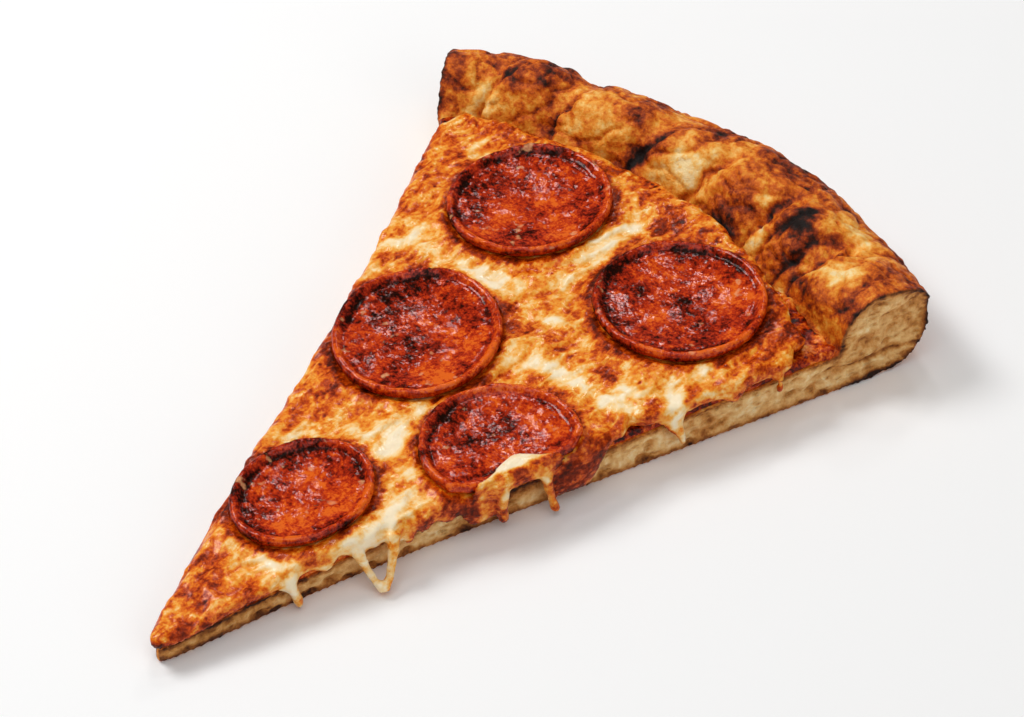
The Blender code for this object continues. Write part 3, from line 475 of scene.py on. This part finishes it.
def fine_copy(node, spacing, smoothing):
    """A copy of a node, whose points lie a spacing apart and are smoothed a number of times."""
    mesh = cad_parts[node].data.copy()
    obj = bpy.data.objects.new(f"{node}_food", mesh)
    scene.collection.objects.link(obj)
    remesh = obj.modifiers.new("fine", "REMESH")
    remesh.mode = "VOXEL"
    remesh.voxel_size = spacing
    smooth = obj.modifiers.new("smooth", "SMOOTH")
    smooth.factor = 0.5
    smooth.iterations = smoothing
    fine = bpy.data.meshes.new_from_object(obj.evaluated_get(bpy.context.evaluated_depsgraph_get()))
    obj.modifiers.clear()
    obj.data = fine
    keep_largest_part(fine)
    return obj


def keep_largest_part(mesh):
    """Deletes the loose specks that the remeshing leaves beside sharp edges."""
    bm = bmesh.new()
    bm.from_mesh(mesh)
    unseen = set(bm.verts)
    parts = []
    while unseen:
        part = [unseen.pop()]
        for vert in part:
            found = [edge.other_vert(vert) for edge in vert.link_edges]
            found = [other for other in found if other in unseen]
            unseen.difference_update(found)
            part += found
        parts.append(part)
    parts.sort(key=len)
    for part in parts[:-1]:
        bmesh.ops.delete(bm, geom=part, context="VERTS")
    bm.to_mesh(mesh)
    bm.free()


def distances(points, targets):
    """How far each point is from the nearest of the targets."""
    tree = kdtree.KDTree(len(targets))
    for number, target in enumerate(targets):
        tree.insert(target, number)
    tree.balance()
    return np.array([tree.find(point)[2] for point in points])


# Materials

def new_material(name, **constants):
    """A new material with values for its shader, its node tree and the shader itself."""
    made = bpy.data.materials.new(name)
    made.use_nodes = True
    shader = made.node_tree.nodes["Principled BSDF"]
    for socket, value in constants.items():
        shader.inputs[socket.replace("_", " ")].default_value = value
    return made, made.node_tree, shader


def add(tree, kind, inputs=(), **settings):
    """A new shader node. inputs are (socket, a value or what is linked to it) pairs."""
    node = tree.nodes.new(kind)
    for name, value in settings.items():
        setattr(node, name, value)
    for socket, value in inputs:
        if isinstance(value, bpy.types.NodeSocket):
            tree.links.new(value, node.inputs[socket])
        else:
            node.inputs[socket].default_value = value
    return node


def coordinates(tree, stretch=(1, 1, 1), turn=0.0):
    """Places on the object, for textures, stretched and turned."""
    source = add(tree, "ShaderNodeTexCoord").outputs["Object"]
    return add(
        tree, "ShaderNodeMapping", [("Vector", source), ("Scale", stretch), ("Rotation", (0, 0, turn))]
    ).outputs["Vector"]


def cloud(tree, places, size, detail=4.0, roughness=0.55, distortion=0.0):
    """Noise of about 0.3 to 0.7 whose features are about size across, in metres."""
    return add(
        tree,
        "ShaderNodeTexNoise",
        [
            ("Vector", places),
            ("Scale", 1 / size),
            ("Detail", detail),
            ("Roughness", roughness),
            ("Distortion", distortion),
        ],
    ).outputs["Fac"]


def cells(tree, places, size):
    """Distance to the nearest of a lot of scattered points, in units of size."""
    return add(tree, "ShaderNodeTexVoronoi", [("Vector", places), ("Scale", 1 / size)]).outputs["Distance"]


def maths(tree, operation, first, second):
    """What a sum, difference or product of two values comes to."""
    return add(tree, "ShaderNodeMath", [(0, first), (1, second)], operation=operation).outputs[0]


def spread(tree, value, low, high, to_low=0.0, to_high=1.0):
    """The value, with its range of low to high made into another one and held there."""
    node = add(
        tree,
        "ShaderNodeMapRange",
        [("Value", value), ("From Min", low), ("From Max", high), ("To Min", to_low), ("To Max", to_high)],
    )
    return node.outputs["Result"]


def stored(tree, name):
    """A value that is stored for each point of the piece."""
    return add(tree, "ShaderNodeAttribute", attribute_name=name).outputs["Fac"]


def ramp(tree, factor, stops):
    """A colour by its place in a table of colours by tone."""
    node = add(tree, "ShaderNodeValToRGB", [("Fac", factor)])
    elements = node.color_ramp.elements
    while len(elements) < len(stops):
        elements.new(0.5)
    for element, (place, *colour) in zip(elements, stops):
        element.position = place
        element.color = srgb(*colour)
    return node.outputs["Color"]


def blended(tree, factor, first, second):
    """One colour that gives way to another as the factor goes from 0 to 1."""
    factor_input, first_input, second_input, colour_output = 0, 6, 7, 2
    node = add(tree, "ShaderNodeMix", data_type="RGBA")
    for number, value in ((factor_input, factor), (first_input, first), (second_input, second)):
        if isinstance(value, bpy.types.NodeSocket):
            tree.links.new(value, node.inputs[number])
        else:
            node.inputs[number].default_value = value
    return node.outputs[colour_output]


def bumps(tree, layers):
    """Bumps on bumps, from (height, strength, distance) layers."""
    normal = None
    for height, strength, distance in layers:
        inputs = [("Height", height), ("Strength", strength), ("Distance", distance)]
        if normal is not None:
            inputs.append(("Normal", normal))
        normal = add(tree, "ShaderNodeBump", inputs).outputs["Normal"]
    return normal


def total(tree, first, *rest):
    """The sum of values."""
    for value in rest:
        first = maths(tree, "ADD", first, value)
    return first


def times(tree, value, factor):
    """A value times a factor."""
    return maths(tree, "MULTIPLY", value, factor)


def centred(tree, value, factor):
    """Noise of about 0.5, as a value of about 0 times a factor."""
    return times(tree, maths(tree, "SUBTRACT", value, 0.5), factor)


def cheese_material():
    """Melted cheese, from cream to brown, that is oilier where it is pale."""
    made, tree, shader = new_material(
        "melted_cheese", Coat_Roughness=0.12, Subsurface_Weight=0.03, Subsurface_Scale=0.002
    )
    shader.inputs["Subsurface Radius"].default_value = (1.0, 0.45, 0.18)
    shader.inputs["Specular IOR Level"].default_value = 0.08
    places = coordinates(tree)
    strands = coordinates(tree, (1.0, 0.38, 1.0), math.radians(12))
    lumps = cloud(tree, places, size=0.0050, detail=6, roughness=0.62)
    threads = cloud(tree, strands, size=0.0019, detail=5, roughness=0.6, distortion=0.8)
    specks = cells(tree, places, size=0.0040)
    speck = times(tree, spread(tree, specks, 0.06, 0.17, 1.0, 0.0), spread(tree, lumps, 0.45, 0.60))
    base = stored(tree, "tone")
    lively = spread(tree, base, 0.10, 0.50, 0.35, 1.0)
    fine = cloud(tree, places, size=0.0011, detail=4, roughness=0.6)
    texture = total(
        tree,
        centred(tree, lumps, 1.1),
        centred(tree, threads, 0.9),
        centred(tree, fine, 0.9),
        times(tree, speck, 0.40),
    )
    tone = total(tree, base, times(tree, texture, lively))
    colour = ramp(tree, tone, CHEESE_COLOURS)
    tree.links.new(colour, shader.inputs["Base Color"])
    tree.links.new(spread(tree, tone, 0.45, 0.85, 0.32, 0.05), shader.inputs["Coat Weight"])
    roughness = spread(tree, total(tree, times(tree, tone, 0.6), lumps), 0.3, 1.1, 0.42, 0.24)
    tree.links.new(roughness, shader.inputs["Roughness"])
    relief = bumps(tree, [(lumps, 0.55, 0.0010), (threads, 0.5, 0.0005), (fine, 0.45, 0.0003)])
    tree.links.new(relief, shader.inputs["Normal"])
    return made


def crust_material():
    """Baked skin, from pale to charred, and open crumb on the cut faces."""
    made, tree, shader = new_material("baked_crust", Subsurface_Weight=0.03)
    shader.inputs["Specular IOR Level"].default_value = 0.2
    shader.inputs["Subsurface Scale"].default_value = 0.002
    places = coordinates(tree)
    broad = cloud(tree, places, size=0.009, detail=5, roughness=0.6)
    grain = cloud(tree, places, size=0.0017, detail=5, roughness=0.65)
    fine = cloud(tree, places, size=0.0006, detail=3)
    tone = total(tree, stored(tree, "tone"), centred(tree, broad, 1.1), centred(tree, grain, 1.0))
    skin = ramp(tree, tone, SKIN_COLOURS)
    stretched = coordinates(tree, (1.0, 0.55, 1.5))
    pores = cells(tree, stretched, size=0.0020)
    large_pores = cells(tree, stretched, size=0.0048)
    # The crumb is painted darker in its pores, as shade
    crumb_tone = total(
        tree,
        stored(tree, "tone"),
        centred(tree, broad, 0.5),
        centred(tree, grain, 0.9),
        spread(tree, pores, 0.05, 0.35, 0.22, 0.0),
        spread(tree, large_pores, 0.05, 0.25, 0.14, 0.0),
    )
    crumb = ramp(tree, crumb_tone, CRUMB_COLOURS)
    is_crumb = stored(tree, "crumb")
    tree.links.new(blended(tree, is_crumb, skin, crumb), shader.inputs["Base Color"])
    tree.links.new(spread(tree, tone, 0.3, 0.9, 0.46, 0.62), shader.inputs["Roughness"])
    open_pores = times(tree, spread(tree, pores, 0.0, 0.45, -1.0, 0.0), is_crumb)
    tree.links.new(
        bumps(tree, [(grain, 0.70, 0.0008), (fine, 0.40, 0.0003), (open_pores, 0.8, 0.0006)]),
        shader.inputs["Normal"],
    )
    return made


def pepperoni_material():
    """Oily red meat with dark grains, pale flecks that are partly fatty and partly painted glints, and a
    painted highlight along the raised edge.
    """
    made, tree, shader = new_material(
        "pepperoni", Coat_Roughness=0.10, Subsurface_Weight=0.02, Subsurface_Scale=0.001
    )
    shader.inputs["Specular IOR Level"].default_value = 0.0
    shader.inputs["Subsurface Radius"].default_value = (1.0, 0.3, 0.15)
    places = coordinates(tree)
    broad = cloud(tree, places, size=0.0060, detail=4, roughness=0.6)
    mottle = cloud(tree, places, size=0.0016, detail=5, roughness=0.7)
    fine = cloud(tree, places, size=0.0006, detail=3)
    dark = stored(tree, "dark")
    grains = total(tree, centred(tree, broad, 0.9), centred(tree, mottle, 1.9), centred(tree, fine, 1.0))
    tone = total(tree, 0.40, times(tree, dark, 0.6), grains)
    meat = ramp(tree, tone, MEAT_COLOURS)
    # Pale flecks, partly fatty and partly painted glints, with the painted highlight along the raised edge
    fat_and_glints = total(tree, stored(tree, "fat_and_glints"), centred(tree, mottle, 1.2), centred(tree, fine, 1.2))
    colour = blended(tree, spread(tree, fat_and_glints, 0.45, 1.25, 0.0, 0.75), meat, srgb(*FAT_AND_GLINT_COLOUR))
    tree.links.new(colour, shader.inputs["Base Color"])
    tree.links.new(spread(tree, tone, 0.45, 0.90, 0.55, 0.12), shader.inputs["Coat Weight"])
    tree.links.new(spread(tree, mottle, 0.35, 0.65, 0.4, 0.6), shader.inputs["Roughness"])
    relief = bumps(tree, [(broad, 0.5, 0.0010), (mottle, 0.35, 0.0004), (fine, 0.20, 0.0002)])
    tree.links.new(relief, shader.inputs["Normal"])
    tree.links.new(bumps(tree, [(broad, 0.4, 0.0010)]), shader.inputs["Coat Normal"])
    return made


def sauce_material():
    """Wet tomato sauce with lumps."""
    made, tree, shader = new_material("tomato_sauce", Coat_Weight=0.32, Coat_Roughness=0.08)
    shader.inputs["Specular IOR Level"].default_value = 0.0
    places = coordinates(tree)
    lumps = cloud(tree, places, size=0.0030, detail=5, roughness=0.65)
    fine = cloud(tree, places, size=0.0008, detail=3)
    tone = total(tree, stored(tree, "tone"), centred(tree, lumps, 2.4), centred(tree, fine, 1.2))
    colour = ramp(tree, tone, SAUCE_COLOURS)
    tree.links.new(colour, shader.inputs["Base Color"])
    tree.links.new(spread(tree, lumps, 0.35, 0.65, 0.24, 0.45), shader.inputs["Roughness"])
    tree.links.new(bumps(tree, [(lumps, 0.6, 0.0010), (fine, 0.3, 0.0003)]), shader.inputs["Normal"])
    tree.links.new(bumps(tree, [(lumps, 0.4, 0.0010)]), shader.inputs["Coat Normal"])
    return made


# Food

PEPPERONI = [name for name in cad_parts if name.startswith("pepperoni")]


def cross(a, b, c):
    """Positive where the way from a over b to c turns to the left, and negative where it turns right."""
    return (b[0] - a[0]) * (c[1] - a[1]) - (b[1] - a[1]) * (c[0] - a[0])


def plan_outline(node):
    """The corners of a node's outline as seen from above, counter-clockwise."""
    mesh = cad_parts[node].data
    points = sorted({(round(v.co.x, 6), round(v.co.y, 6)) for v in mesh.vertices})
    chains = []
    for ordered in (points, points[::-1]):
        chain = []
        for point in ordered:
            while len(chain) > 1 and cross(chain[-2], chain[-1], point) <= 0:
                chain.pop()
            chain.append(point)
        chains += chain[:-1]
    return np.array(chains)


def depth_inside(points, outline):
    """How far plan points lie inside an outline, in metres, and negative outside it."""
    deepest = np.full(len(points), 1.0)
    for a, b in zip(outline, np.roll(outline, -1, axis=0)):
        along = (b - a) / max(1e-9, np.linalg.norm(b - a))
        deepest = np.minimum(deepest, (points[:, :2] - a) @ (-along[1], along[0]))
    return deepest


def beyond_rounds(points):
    """How far each plan point is beyond the edge of the nearest round of pepperoni, in metres."""
    return -np.max([depth_inside(points, plan_outline(name)) for name in PEPPERONI], axis=0)


def left_depth(piece):
    """How far each point is inside the left-hand cut, in metres."""
    return piece.places[:, 0] * math.cos(LEFT_CUT) + piece.places[:, 1] * math.sin(LEFT_CUT)


def facing_up(piece):
    """1 where the surface looks up, and 0 on its sides and underneath."""
    return smooth_step(0.1, 0.6, piece.normals[:, 2])


def warped(piece, amount, size, seed):
    """The piece's places, shifted at random in plan, so that the patterns on them wind."""
    places = piece.places.copy()
    places[:, :2] = ragged(piece.places, amount, size, seed)
    return places


def scattered(piece, count, smallest, largest, seed, lowest_r=0.0):
    """Heights from 0 to 1 of random round bumps on the piece's upper side, from a least r on."""
    draw = np.random.default_rng(seed)
    upper = np.flatnonzero((piece.normals[:, 2] > 0.3) & (piece.r >= lowest_r))
    heights = np.zeros(len(piece.points))
    for middle in piece.points[draw.choice(upper, count, replace=False)]:
        radius = draw.uniform(smallest, largest)
        distance = np.linalg.norm(piece.points - middle, axis=1)
        bump = np.clip(1 - (distance / radius) ** 2, 0, 1) ** 1.5 * draw.uniform(0.4, 1.0)
        heights = np.maximum(heights, bump)
    return heights


def build_cheese(material):
    """The cheese, with lumps, threads and blisters, browned in patches, with a darker band of oil and
    painted shade around the pepperoni, and painted shade underneath.
    """
    piece = Piece("cheese", "cheese")
    up = facing_up(piece)
    beyond = beyond_rounds(piece.points)
    clear_of_rounds = smooth_step(-0.0005, 0.0015, beyond)
    warp = warped(piece, amount=0.0020, size=0.006, seed=30)
    forms = {
        "lumps": swells(warp, size=0.0058, seed=1, stretch=(1, 1.6, 1)),
        "threads": ridges(warp, size=0.0032, seed=2, stretch=(1, 2.6, 1)) - 0.45,
        "small": swells(warp, size=0.0017, seed=3, stretch=(1, 1.5, 1)),
    }
    blisters = scattered(piece, *CHEESE_BLISTERS)
    relief = weighted(CHEESE_RELIEF, blisters=blisters, **forms)
    piece.raise_by(relief * (0.25 + 0.75 * up) * (0.35 + 0.65 * clear_of_rounds))

    plan = ragged(piece.places, amount=0.0030, size=0.0050, seed=40)
    pale = patches(plan, PALE_CHEESE)
    # A darker band around each round of pepperoni: oil, and painted shade between the cheese and the meat
    ring_width = 0.0019 + 0.0007 * swells(piece.places, size=0.009, seed=9)
    ring_width = np.where(beyond > 0, ring_width, 0.0006)
    tone = weighted(
        CHEESE_TONE,
        base=1,
        broad=swells(piece.places, size=0.011, seed=6),
        toasted=patches(plan, TOASTED_CHEESE),
        pale=pale,
        ring=bell(beyond, ring_width) * (1 - 0.4 * pale),
        blisters=blisters * (1 - pale),
        left_edge=smooth_step(0.0030, 0.0006, left_depth(piece)) * up,
        **forms,
    )
    # The sides a little darker, with streaks, and the underside darker, which is painted shade
    side = 1 - up
    side_tone = weighted(
        CHEESE_SIDE_TONE,
        side=side,
        streaks=side * swells(piece.places, size=0.004, seed=8),
        under=smooth_step(0.2, 0.8, -piece.normals[:, 2]),
    )
    piece.give("tone", np.minimum(tone, DARKEST_CHEESE) + side_tone)
    piece.finish(material)


def cut_faces(piece):
    """1 on the two cut faces of the dough and 0 elsewhere."""
    faces = np.zeros(len(piece.points))
    for side, angle in ((1, RIGHT_CUT), (-1, LEFT_CUT)):
        outward = np.array((side * math.cos(angle), -math.sin(angle), 0))
        facing = smooth_step(0.45, 0.75, piece.normals @ outward)
        depth = -(piece.places @ outward)
        near = 1 - smooth_step(*CUT_FACE_DEPTHS, depth)
        faces = np.maximum(faces, facing * near)
    return faces


def dough_zones(piece):
    """Where the dough is open crumb, rim, upper side and underside, from 0 to 1, and how far each point is
    from the edge of the crumb."""
    crumb = cut_faces(piece)
    is_crumb = crumb > 0.5
    from_edge = np.empty(len(crumb))
    from_edge[is_crumb] = distances(piece.points[is_crumb], piece.points[~is_crumb])
    from_edge[~is_crumb] = distances(piece.points[~is_crumb], piece.points[is_crumb])
    return SimpleNamespace(
        crumb=crumb,
        is_crumb=is_crumb,
        from_edge=from_edge,
        rim=smooth_step(RIM_FOOT - 0.002, RIM_FOOT + 0.005, piece.r),
        up=smooth_step(-0.1, 0.4, piece.normals[:, 2]),
        under=smooth_step(0.5, 0.9, -piece.normals[:, 2]),
    )


def rim_creases(piece):
    """1 along the creases that run up the rim to its crest, and 0 away from them."""
    creases = np.zeros(len(piece.points))
    for degrees in CREASES:
        slant = 3.0 * (piece.r - RIM_CREST)
        line = math.radians(degrees) + slant + 0.012 * swells(piece.places, size=0.006, seed=15)
        width = 0.0009 + 0.0006 * swells(piece.places, size=0.008, seed=16)
        creases = np.maximum(creases, bell((piece.angle - line) * piece.r, width))
    return creases * (1 - smooth_step(RIM_CREST - 0.003, RIM_CREST + 0.004, piece.r))


def crumb_pores(piece, crumb):
    """Depths from 0 to 1 of random openings in the crumb, which are larger in the rim."""
    count, smallest, largest, seed = CRUMB_PORES
    draw = np.random.default_rng(seed)
    depths = np.zeros(len(piece.points))
    for middle in draw.choice(np.flatnonzero(crumb > 0.6), count, replace=False):
        radius = draw.uniform(smallest, largest) * (RIM_PORES_LARGER if piece.r[middle] > RIM_FOOT else 1)
        away = piece.points - piece.points[middle]
        along = np.linalg.norm(away[:, :2], axis=1) / (radius * draw.uniform(1.2, 2.4))
        across = away[:, 2] / radius
        hole = np.clip(1 - along ** 2 - across ** 2, 0, 1) * draw.uniform(0.4, 1.0)
        depths = np.maximum(depths, hole)
    return depths


def dough_forms(piece, zones):
    """The small forms of the dough, from which come both its relief and its tones."""
    warp = warped(piece, amount=0.002, size=0.007, seed=50)
    outside = smooth_step(RIM_CREST, RIM_OUTSIDE, piece.r)
    fold_height = FOLD_HEIGHT + 0.0005 * swells(piece.places, size=0.006, seed=20)
    return SimpleNamespace(
        lumps=swells(warp, size=0.0085, seed=11),
        wrinkles=ridges(warp, size=0.0055, seed=12, stretch=(1.5, 1, 1)) ** 3,
        small=swells(warp, size=0.0022, seed=13),
        blisters=scattered(piece, *CRUST_BLISTERS),
        creases=rim_creases(piece),
        outside=outside,
        folds=ridges(warp, size=0.0036, seed=25, stretch=(2.4, 1, 1)) ** 2 * outside,
        pores=crumb_pores(piece, zones.crumb),
        fold=bell(piece.points[:, 2] - fold_height, FOLD_WIDTH) * zones.rim * zones.is_crumb,
    )


def raise_dough(piece, zones, forms):
    """Works the small forms into the rim's skin, the cut faces and the underside."""
    skin_relief = weighted(
        SKIN_RELIEF,
        lumps=forms.lumps,
        wrinkles=forms.wrinkles,
        small=forms.small,
        blisters=forms.blisters,
        folds=forms.folds,
        creases=forms.creases,
    )
    crumb_relief = weighted(
        CRUMB_RELIEF,
        rough=swells(piece.places, size=0.0024, seed=17),
        fine=swells(piece.places, size=0.0012, seed=18),
        pores=forms.pores,
        fold=forms.fold,
    )
    skin = zones.rim * (1 - zones.crumb) * (1 - zones.under) * smooth_step(0.0004, 0.0024, zones.from_edge)
    inside = zones.is_crumb * smooth_step(0.0002, 0.0014, zones.from_edge)
    underside = UNDERSIDE_RELIEF * swells(piece.places, size=0.003, seed=19) * zones.under
    piece.raise_by(skin_relief * skin + crumb_relief * inside + underside)


def skin_tone(piece, zones, forms):
    """The tone of the baked skin: charred and pale patches, creases, wrinkles and folds painted darker as
    shade, and a spotted underside.
    """
    plan = ragged(piece.places, amount=0.0030, size=0.0060, seed=60)
    char = rim_patches(plan, CHAR)
    tone = weighted(
        SKIN_TONE,
        base=1,
        broad=swells(piece.places, size=0.015, seed=21),
        lumps=forms.lumps,
        char=char,
        pale=rim_patches(plan, PALE_CRUST),
        wrinkles=forms.wrinkles,
        creases=forms.creases,
        folds=forms.folds,
        blisters=forms.blisters * (0.3 + char),
        foot=bell(piece.r - RIM_FOOT - 0.0025, 0.0022) * zones.rim * zones.up,
        outside=forms.outside,
    )
    underside = weighted(
        UNDERSIDE_TONE,
        base=1,
        broad=swells(piece.places, size=0.02, seed=23),
        spots=smooth_step(0.15, 0.6, swells(piece.places, size=0.006, seed=22)),
    )
    return tone * (1 - zones.under) + underside * zones.under


def top_height(places):
    """Height of the dough's flat top, which rises from the tip to the rim."""
    return TOP_AT_TIP + TOP_RISE * (np.clip(places[:, 1], 0, None) / RIM_FOOT) ** 0.8


def crumb_tone(piece, zones, forms, edge):
    """The tone of the crumb: scorched at the bottom, stained by sauce and painted with shade under the
    topping, with painted shade in its pores, and outlined on the rim.
    """
    height = piece.points[:, 2]
    # A darker band under the topping, partly stained by sauce and partly painted shade, that reaches deeper
    # under the cheese that flows over the right-hand cut, where it is painted shade
    flow = bell(piece.r - FLOW_R, FLOW_WIDTH) * (piece.places[:, 0] > 0)
    stain_depth = 0.0016 + 0.0012 * swells(piece.places, size=0.007, seed=29) + 0.0040 * flow
    below_top = top_height(piece.places) - height
    stain = (1 - smooth_step(0.0, 1.0, below_top / stain_depth)) * (1 - zones.rim)
    specks = smooth_step(0.15, 0.55, swells(piece.places, size=0.0022, seed=44))
    upper_back = smooth_step(0.178, 0.192, piece.r) * smooth_step(0.010, 0.018, height)
    return weighted(
        CRUMB_TONE,
        base=1,
        broad=swells(piece.places, size=0.008, seed=24),
        low=1 - smooth_step(0.0006, 0.0022, height),
        pores=forms.pores,
        stain=stain,
        flow_stain=flow * stain,
        tip=smooth_step(0.045, 0.020, piece.r),
        rim=zones.rim,
        above_fold=zones.rim * smooth_step(0.0050, 0.0062, height),
        specks=zones.rim * upper_back * specks,
        edge=edge,
        rim_edge=zones.rim * edge,
        fold=forms.fold,
    )


def build_dough(material):
    """The dough: a puffed and browned rim, torn crumb on the cut faces and a baked underside."""
    piece = Piece("dough", "dough")
    zones = dough_zones(piece)
    forms = dough_forms(piece, zones)
    raise_dough(piece, zones, forms)
    edge = bell(zones.from_edge, 0.0010)
    skin = skin_tone(piece, zones, forms) + SKIN_EDGE_TONE * edge * zones.rim
    crumb = crumb_tone(piece, zones, forms, edge)
    piece.give("tone", skin * (1 - zones.crumb) + crumb * zones.crumb)
    piece.give("crumb", zones.crumb)
    piece.finish(material)


def build_sauce(material):
    """The sauce, with lumps, and beads where it isn't hidden by the cheese, both painted paler as
    highlights.
    """
    piece = Piece("sauce", "sauce")
    forms = {
        "lumps": swells(piece.places, size=0.0040, seed=26),
        "beads": scattered(piece, *SAUCE_BEADS, lowest_r=SAUCE_HIDDEN - 0.002),
    }
    relief = weighted(SAUCE_RELIEF, small=swells(piece.places, size=0.0016, seed=27), **forms)
    showing = smooth_step(SAUCE_HIDDEN, SAUCE_SHOWS, piece.r)
    piece.raise_by(relief * (0.2 + 0.8 * showing))
    piece.give(
        "tone", weighted(SAUCE_TONE, base=1, broad=swells(piece.places, size=0.012, seed=28), **forms)
    )
    piece.finish(material)


def build_pepperoni(name, number, material):
    """A round of pepperoni, with a raised edge painted paler as a highlight, a groove and dents painted
    darker as shade, pale flecks that are partly fatty and partly painted glints, and char.
    """
    piece = Piece(name, "pepperoni")
    up = facing_up(piece)
    inwards = depth_inside(piece.points, plan_outline(name)) / MM
    places = piece.points + (0, 0, number * ROUND_PATTERN_STEP)
    uneven = inwards + 0.35 * swells(places, size=0.006, seed=34)
    count, smallest, largest, seed = MEAT_DENTS
    ridge, groove, lip_highlight = (
        bell(uneven - inside, width) for inside, width in (RIDGE, GROOVE, LIP_HIGHLIGHT)
    )
    forms = {
        "lumps": swells(places, size=0.0042, seed=31),
        "ridge": ridge,
        "groove": groove,
        "dents": scattered(piece, count, smallest, largest, seed + number),
    }
    relief = weighted(MEAT_RELIEF, small=swells(places, size=0.0017, seed=32), **forms)
    piece.raise_by(relief * (0.3 + 0.7 * up))

    # Pale flecks, partly fatty and partly painted glints, and a pale band along the raised edge that is a
    # painted highlight
    flecks = swells(places, size=0.0027, seed=36, stretch=(1, 1.5, 1))
    flecks += 0.45 * swells(places, size=0.0012, seed=37)
    edge_highlight = lip_highlight * smooth_step(-0.1, 0.5, swells(places, size=0.010, seed=38))
    piece.give("fat_and_glints", (smooth_step(0.38, 0.90, flecks) + 0.20 * edge_highlight) * up)
    middle = piece.points.mean(axis=0)
    # Darker where charred and at the outer edge, darker in the groove and dents as painted shade, and paler
    # on the raised edge as a painted highlight
    dark = weighted(
        MEAT_DARKNESS,
        outer_edge=1 - smooth_step(0.0, 0.6, inwards),
        charred=swells(places, size=0.009, seed=35),
        leftward=np.clip((middle[0] - piece.points[:, 0]) / 0.018, -1, 1),
        **forms,
    )
    piece.give("dark", dark)
    piece.finish(material)


def build_food():
    """All the pieces of the slice."""
    build_dough(crust_material())
    build_sauce(sauce_material())
    build_cheese(cheese_material())
    meat = pepperoni_material()
    for number, name in enumerate(sorted(PEPPERONI)):
        build_pepperoni(name, number, meat)


# Stage

def build_ground():
    """A white ground."""
    bm = bmesh.new()
    bmesh.ops.create_grid(bm, x_segments=1, y_segments=1, size=GROUND_HALF_SIZE)
    mesh = bpy.data.meshes.new("ground")
    bm.to_mesh(mesh)
    bm.free()
    ground = bpy.data.objects.new("ground", mesh)
    ground.location = (0, 0, -GROUND_DROP)
    made, _, shader = new_material("white_ground", Roughness=0.9)
    shader.inputs["Base Color"].default_value = GROUND_COLOUR
    shader.inputs["Specular IOR Level"].default_value = 0.1
    mesh.materials.append(made)
    scene.collection.objects.link(ground)


def direction(azimuth, elevation):
    """From the slice to a light or the camera. Azimuth 0 is beyond the tip, and it grows to the right."""
    flat = math.cos(elevation)
    return Vector((math.sin(azimuth) * flat, -math.cos(azimuth) * flat, math.sin(elevation)))


def add_light(name, azimuth, elevation, distance, size, power):
    """A square light that looks at the slice."""
    lamp = bpy.data.lights.new(name, "AREA")
    lamp.shape = "SQUARE"
    lamp.size = size
    lamp.energy = power
    obj = bpy.data.objects.new(name, lamp)
    away = direction(math.radians(azimuth), math.radians(elevation))
    obj.location = CAMERA_TARGET + away * distance
    obj.rotation_euler = (-away).to_track_quat("-Z", "Y").to_euler()
    scene.collection.objects.link(obj)


def build_light():
    """The lights and a pale surrounding."""
    for light in LIGHTS:
        add_light(*light)
    world = bpy.data.worlds.new("studio")
    world.use_nodes = True
    background = world.node_tree.nodes["Background"]
    background.inputs["Color"].default_value = WORLD_COLOUR
    background.inputs["Strength"].default_value = WORLD_STRENGTH
    scene.world = world


def build_camera():
    """The camera, level and looking at the slice."""
    back = direction(CAMERA_AZIMUTH, CAMERA_ELEVATION)
    right = Vector((math.cos(CAMERA_AZIMUTH), math.sin(CAMERA_AZIMUTH), 0))
    up = back.cross(right)
    data = bpy.data.cameras.new("camera")
    data.lens = FOCAL_LENGTH
    data.sensor_width = SENSOR_WIDTH
    camera = bpy.data.objects.new("camera", data)
    axes = Matrix((right, up, back)).transposed().to_4x4()
    camera.matrix_world = Matrix.Translation(CAMERA_TARGET + back * CAMERA_DISTANCE) @ axes
    scene.collection.objects.link(camera)
    scene.camera = camera


build_food()
build_ground()
build_light()
build_camera()
scene.view_settings.view_transform = "Standard"
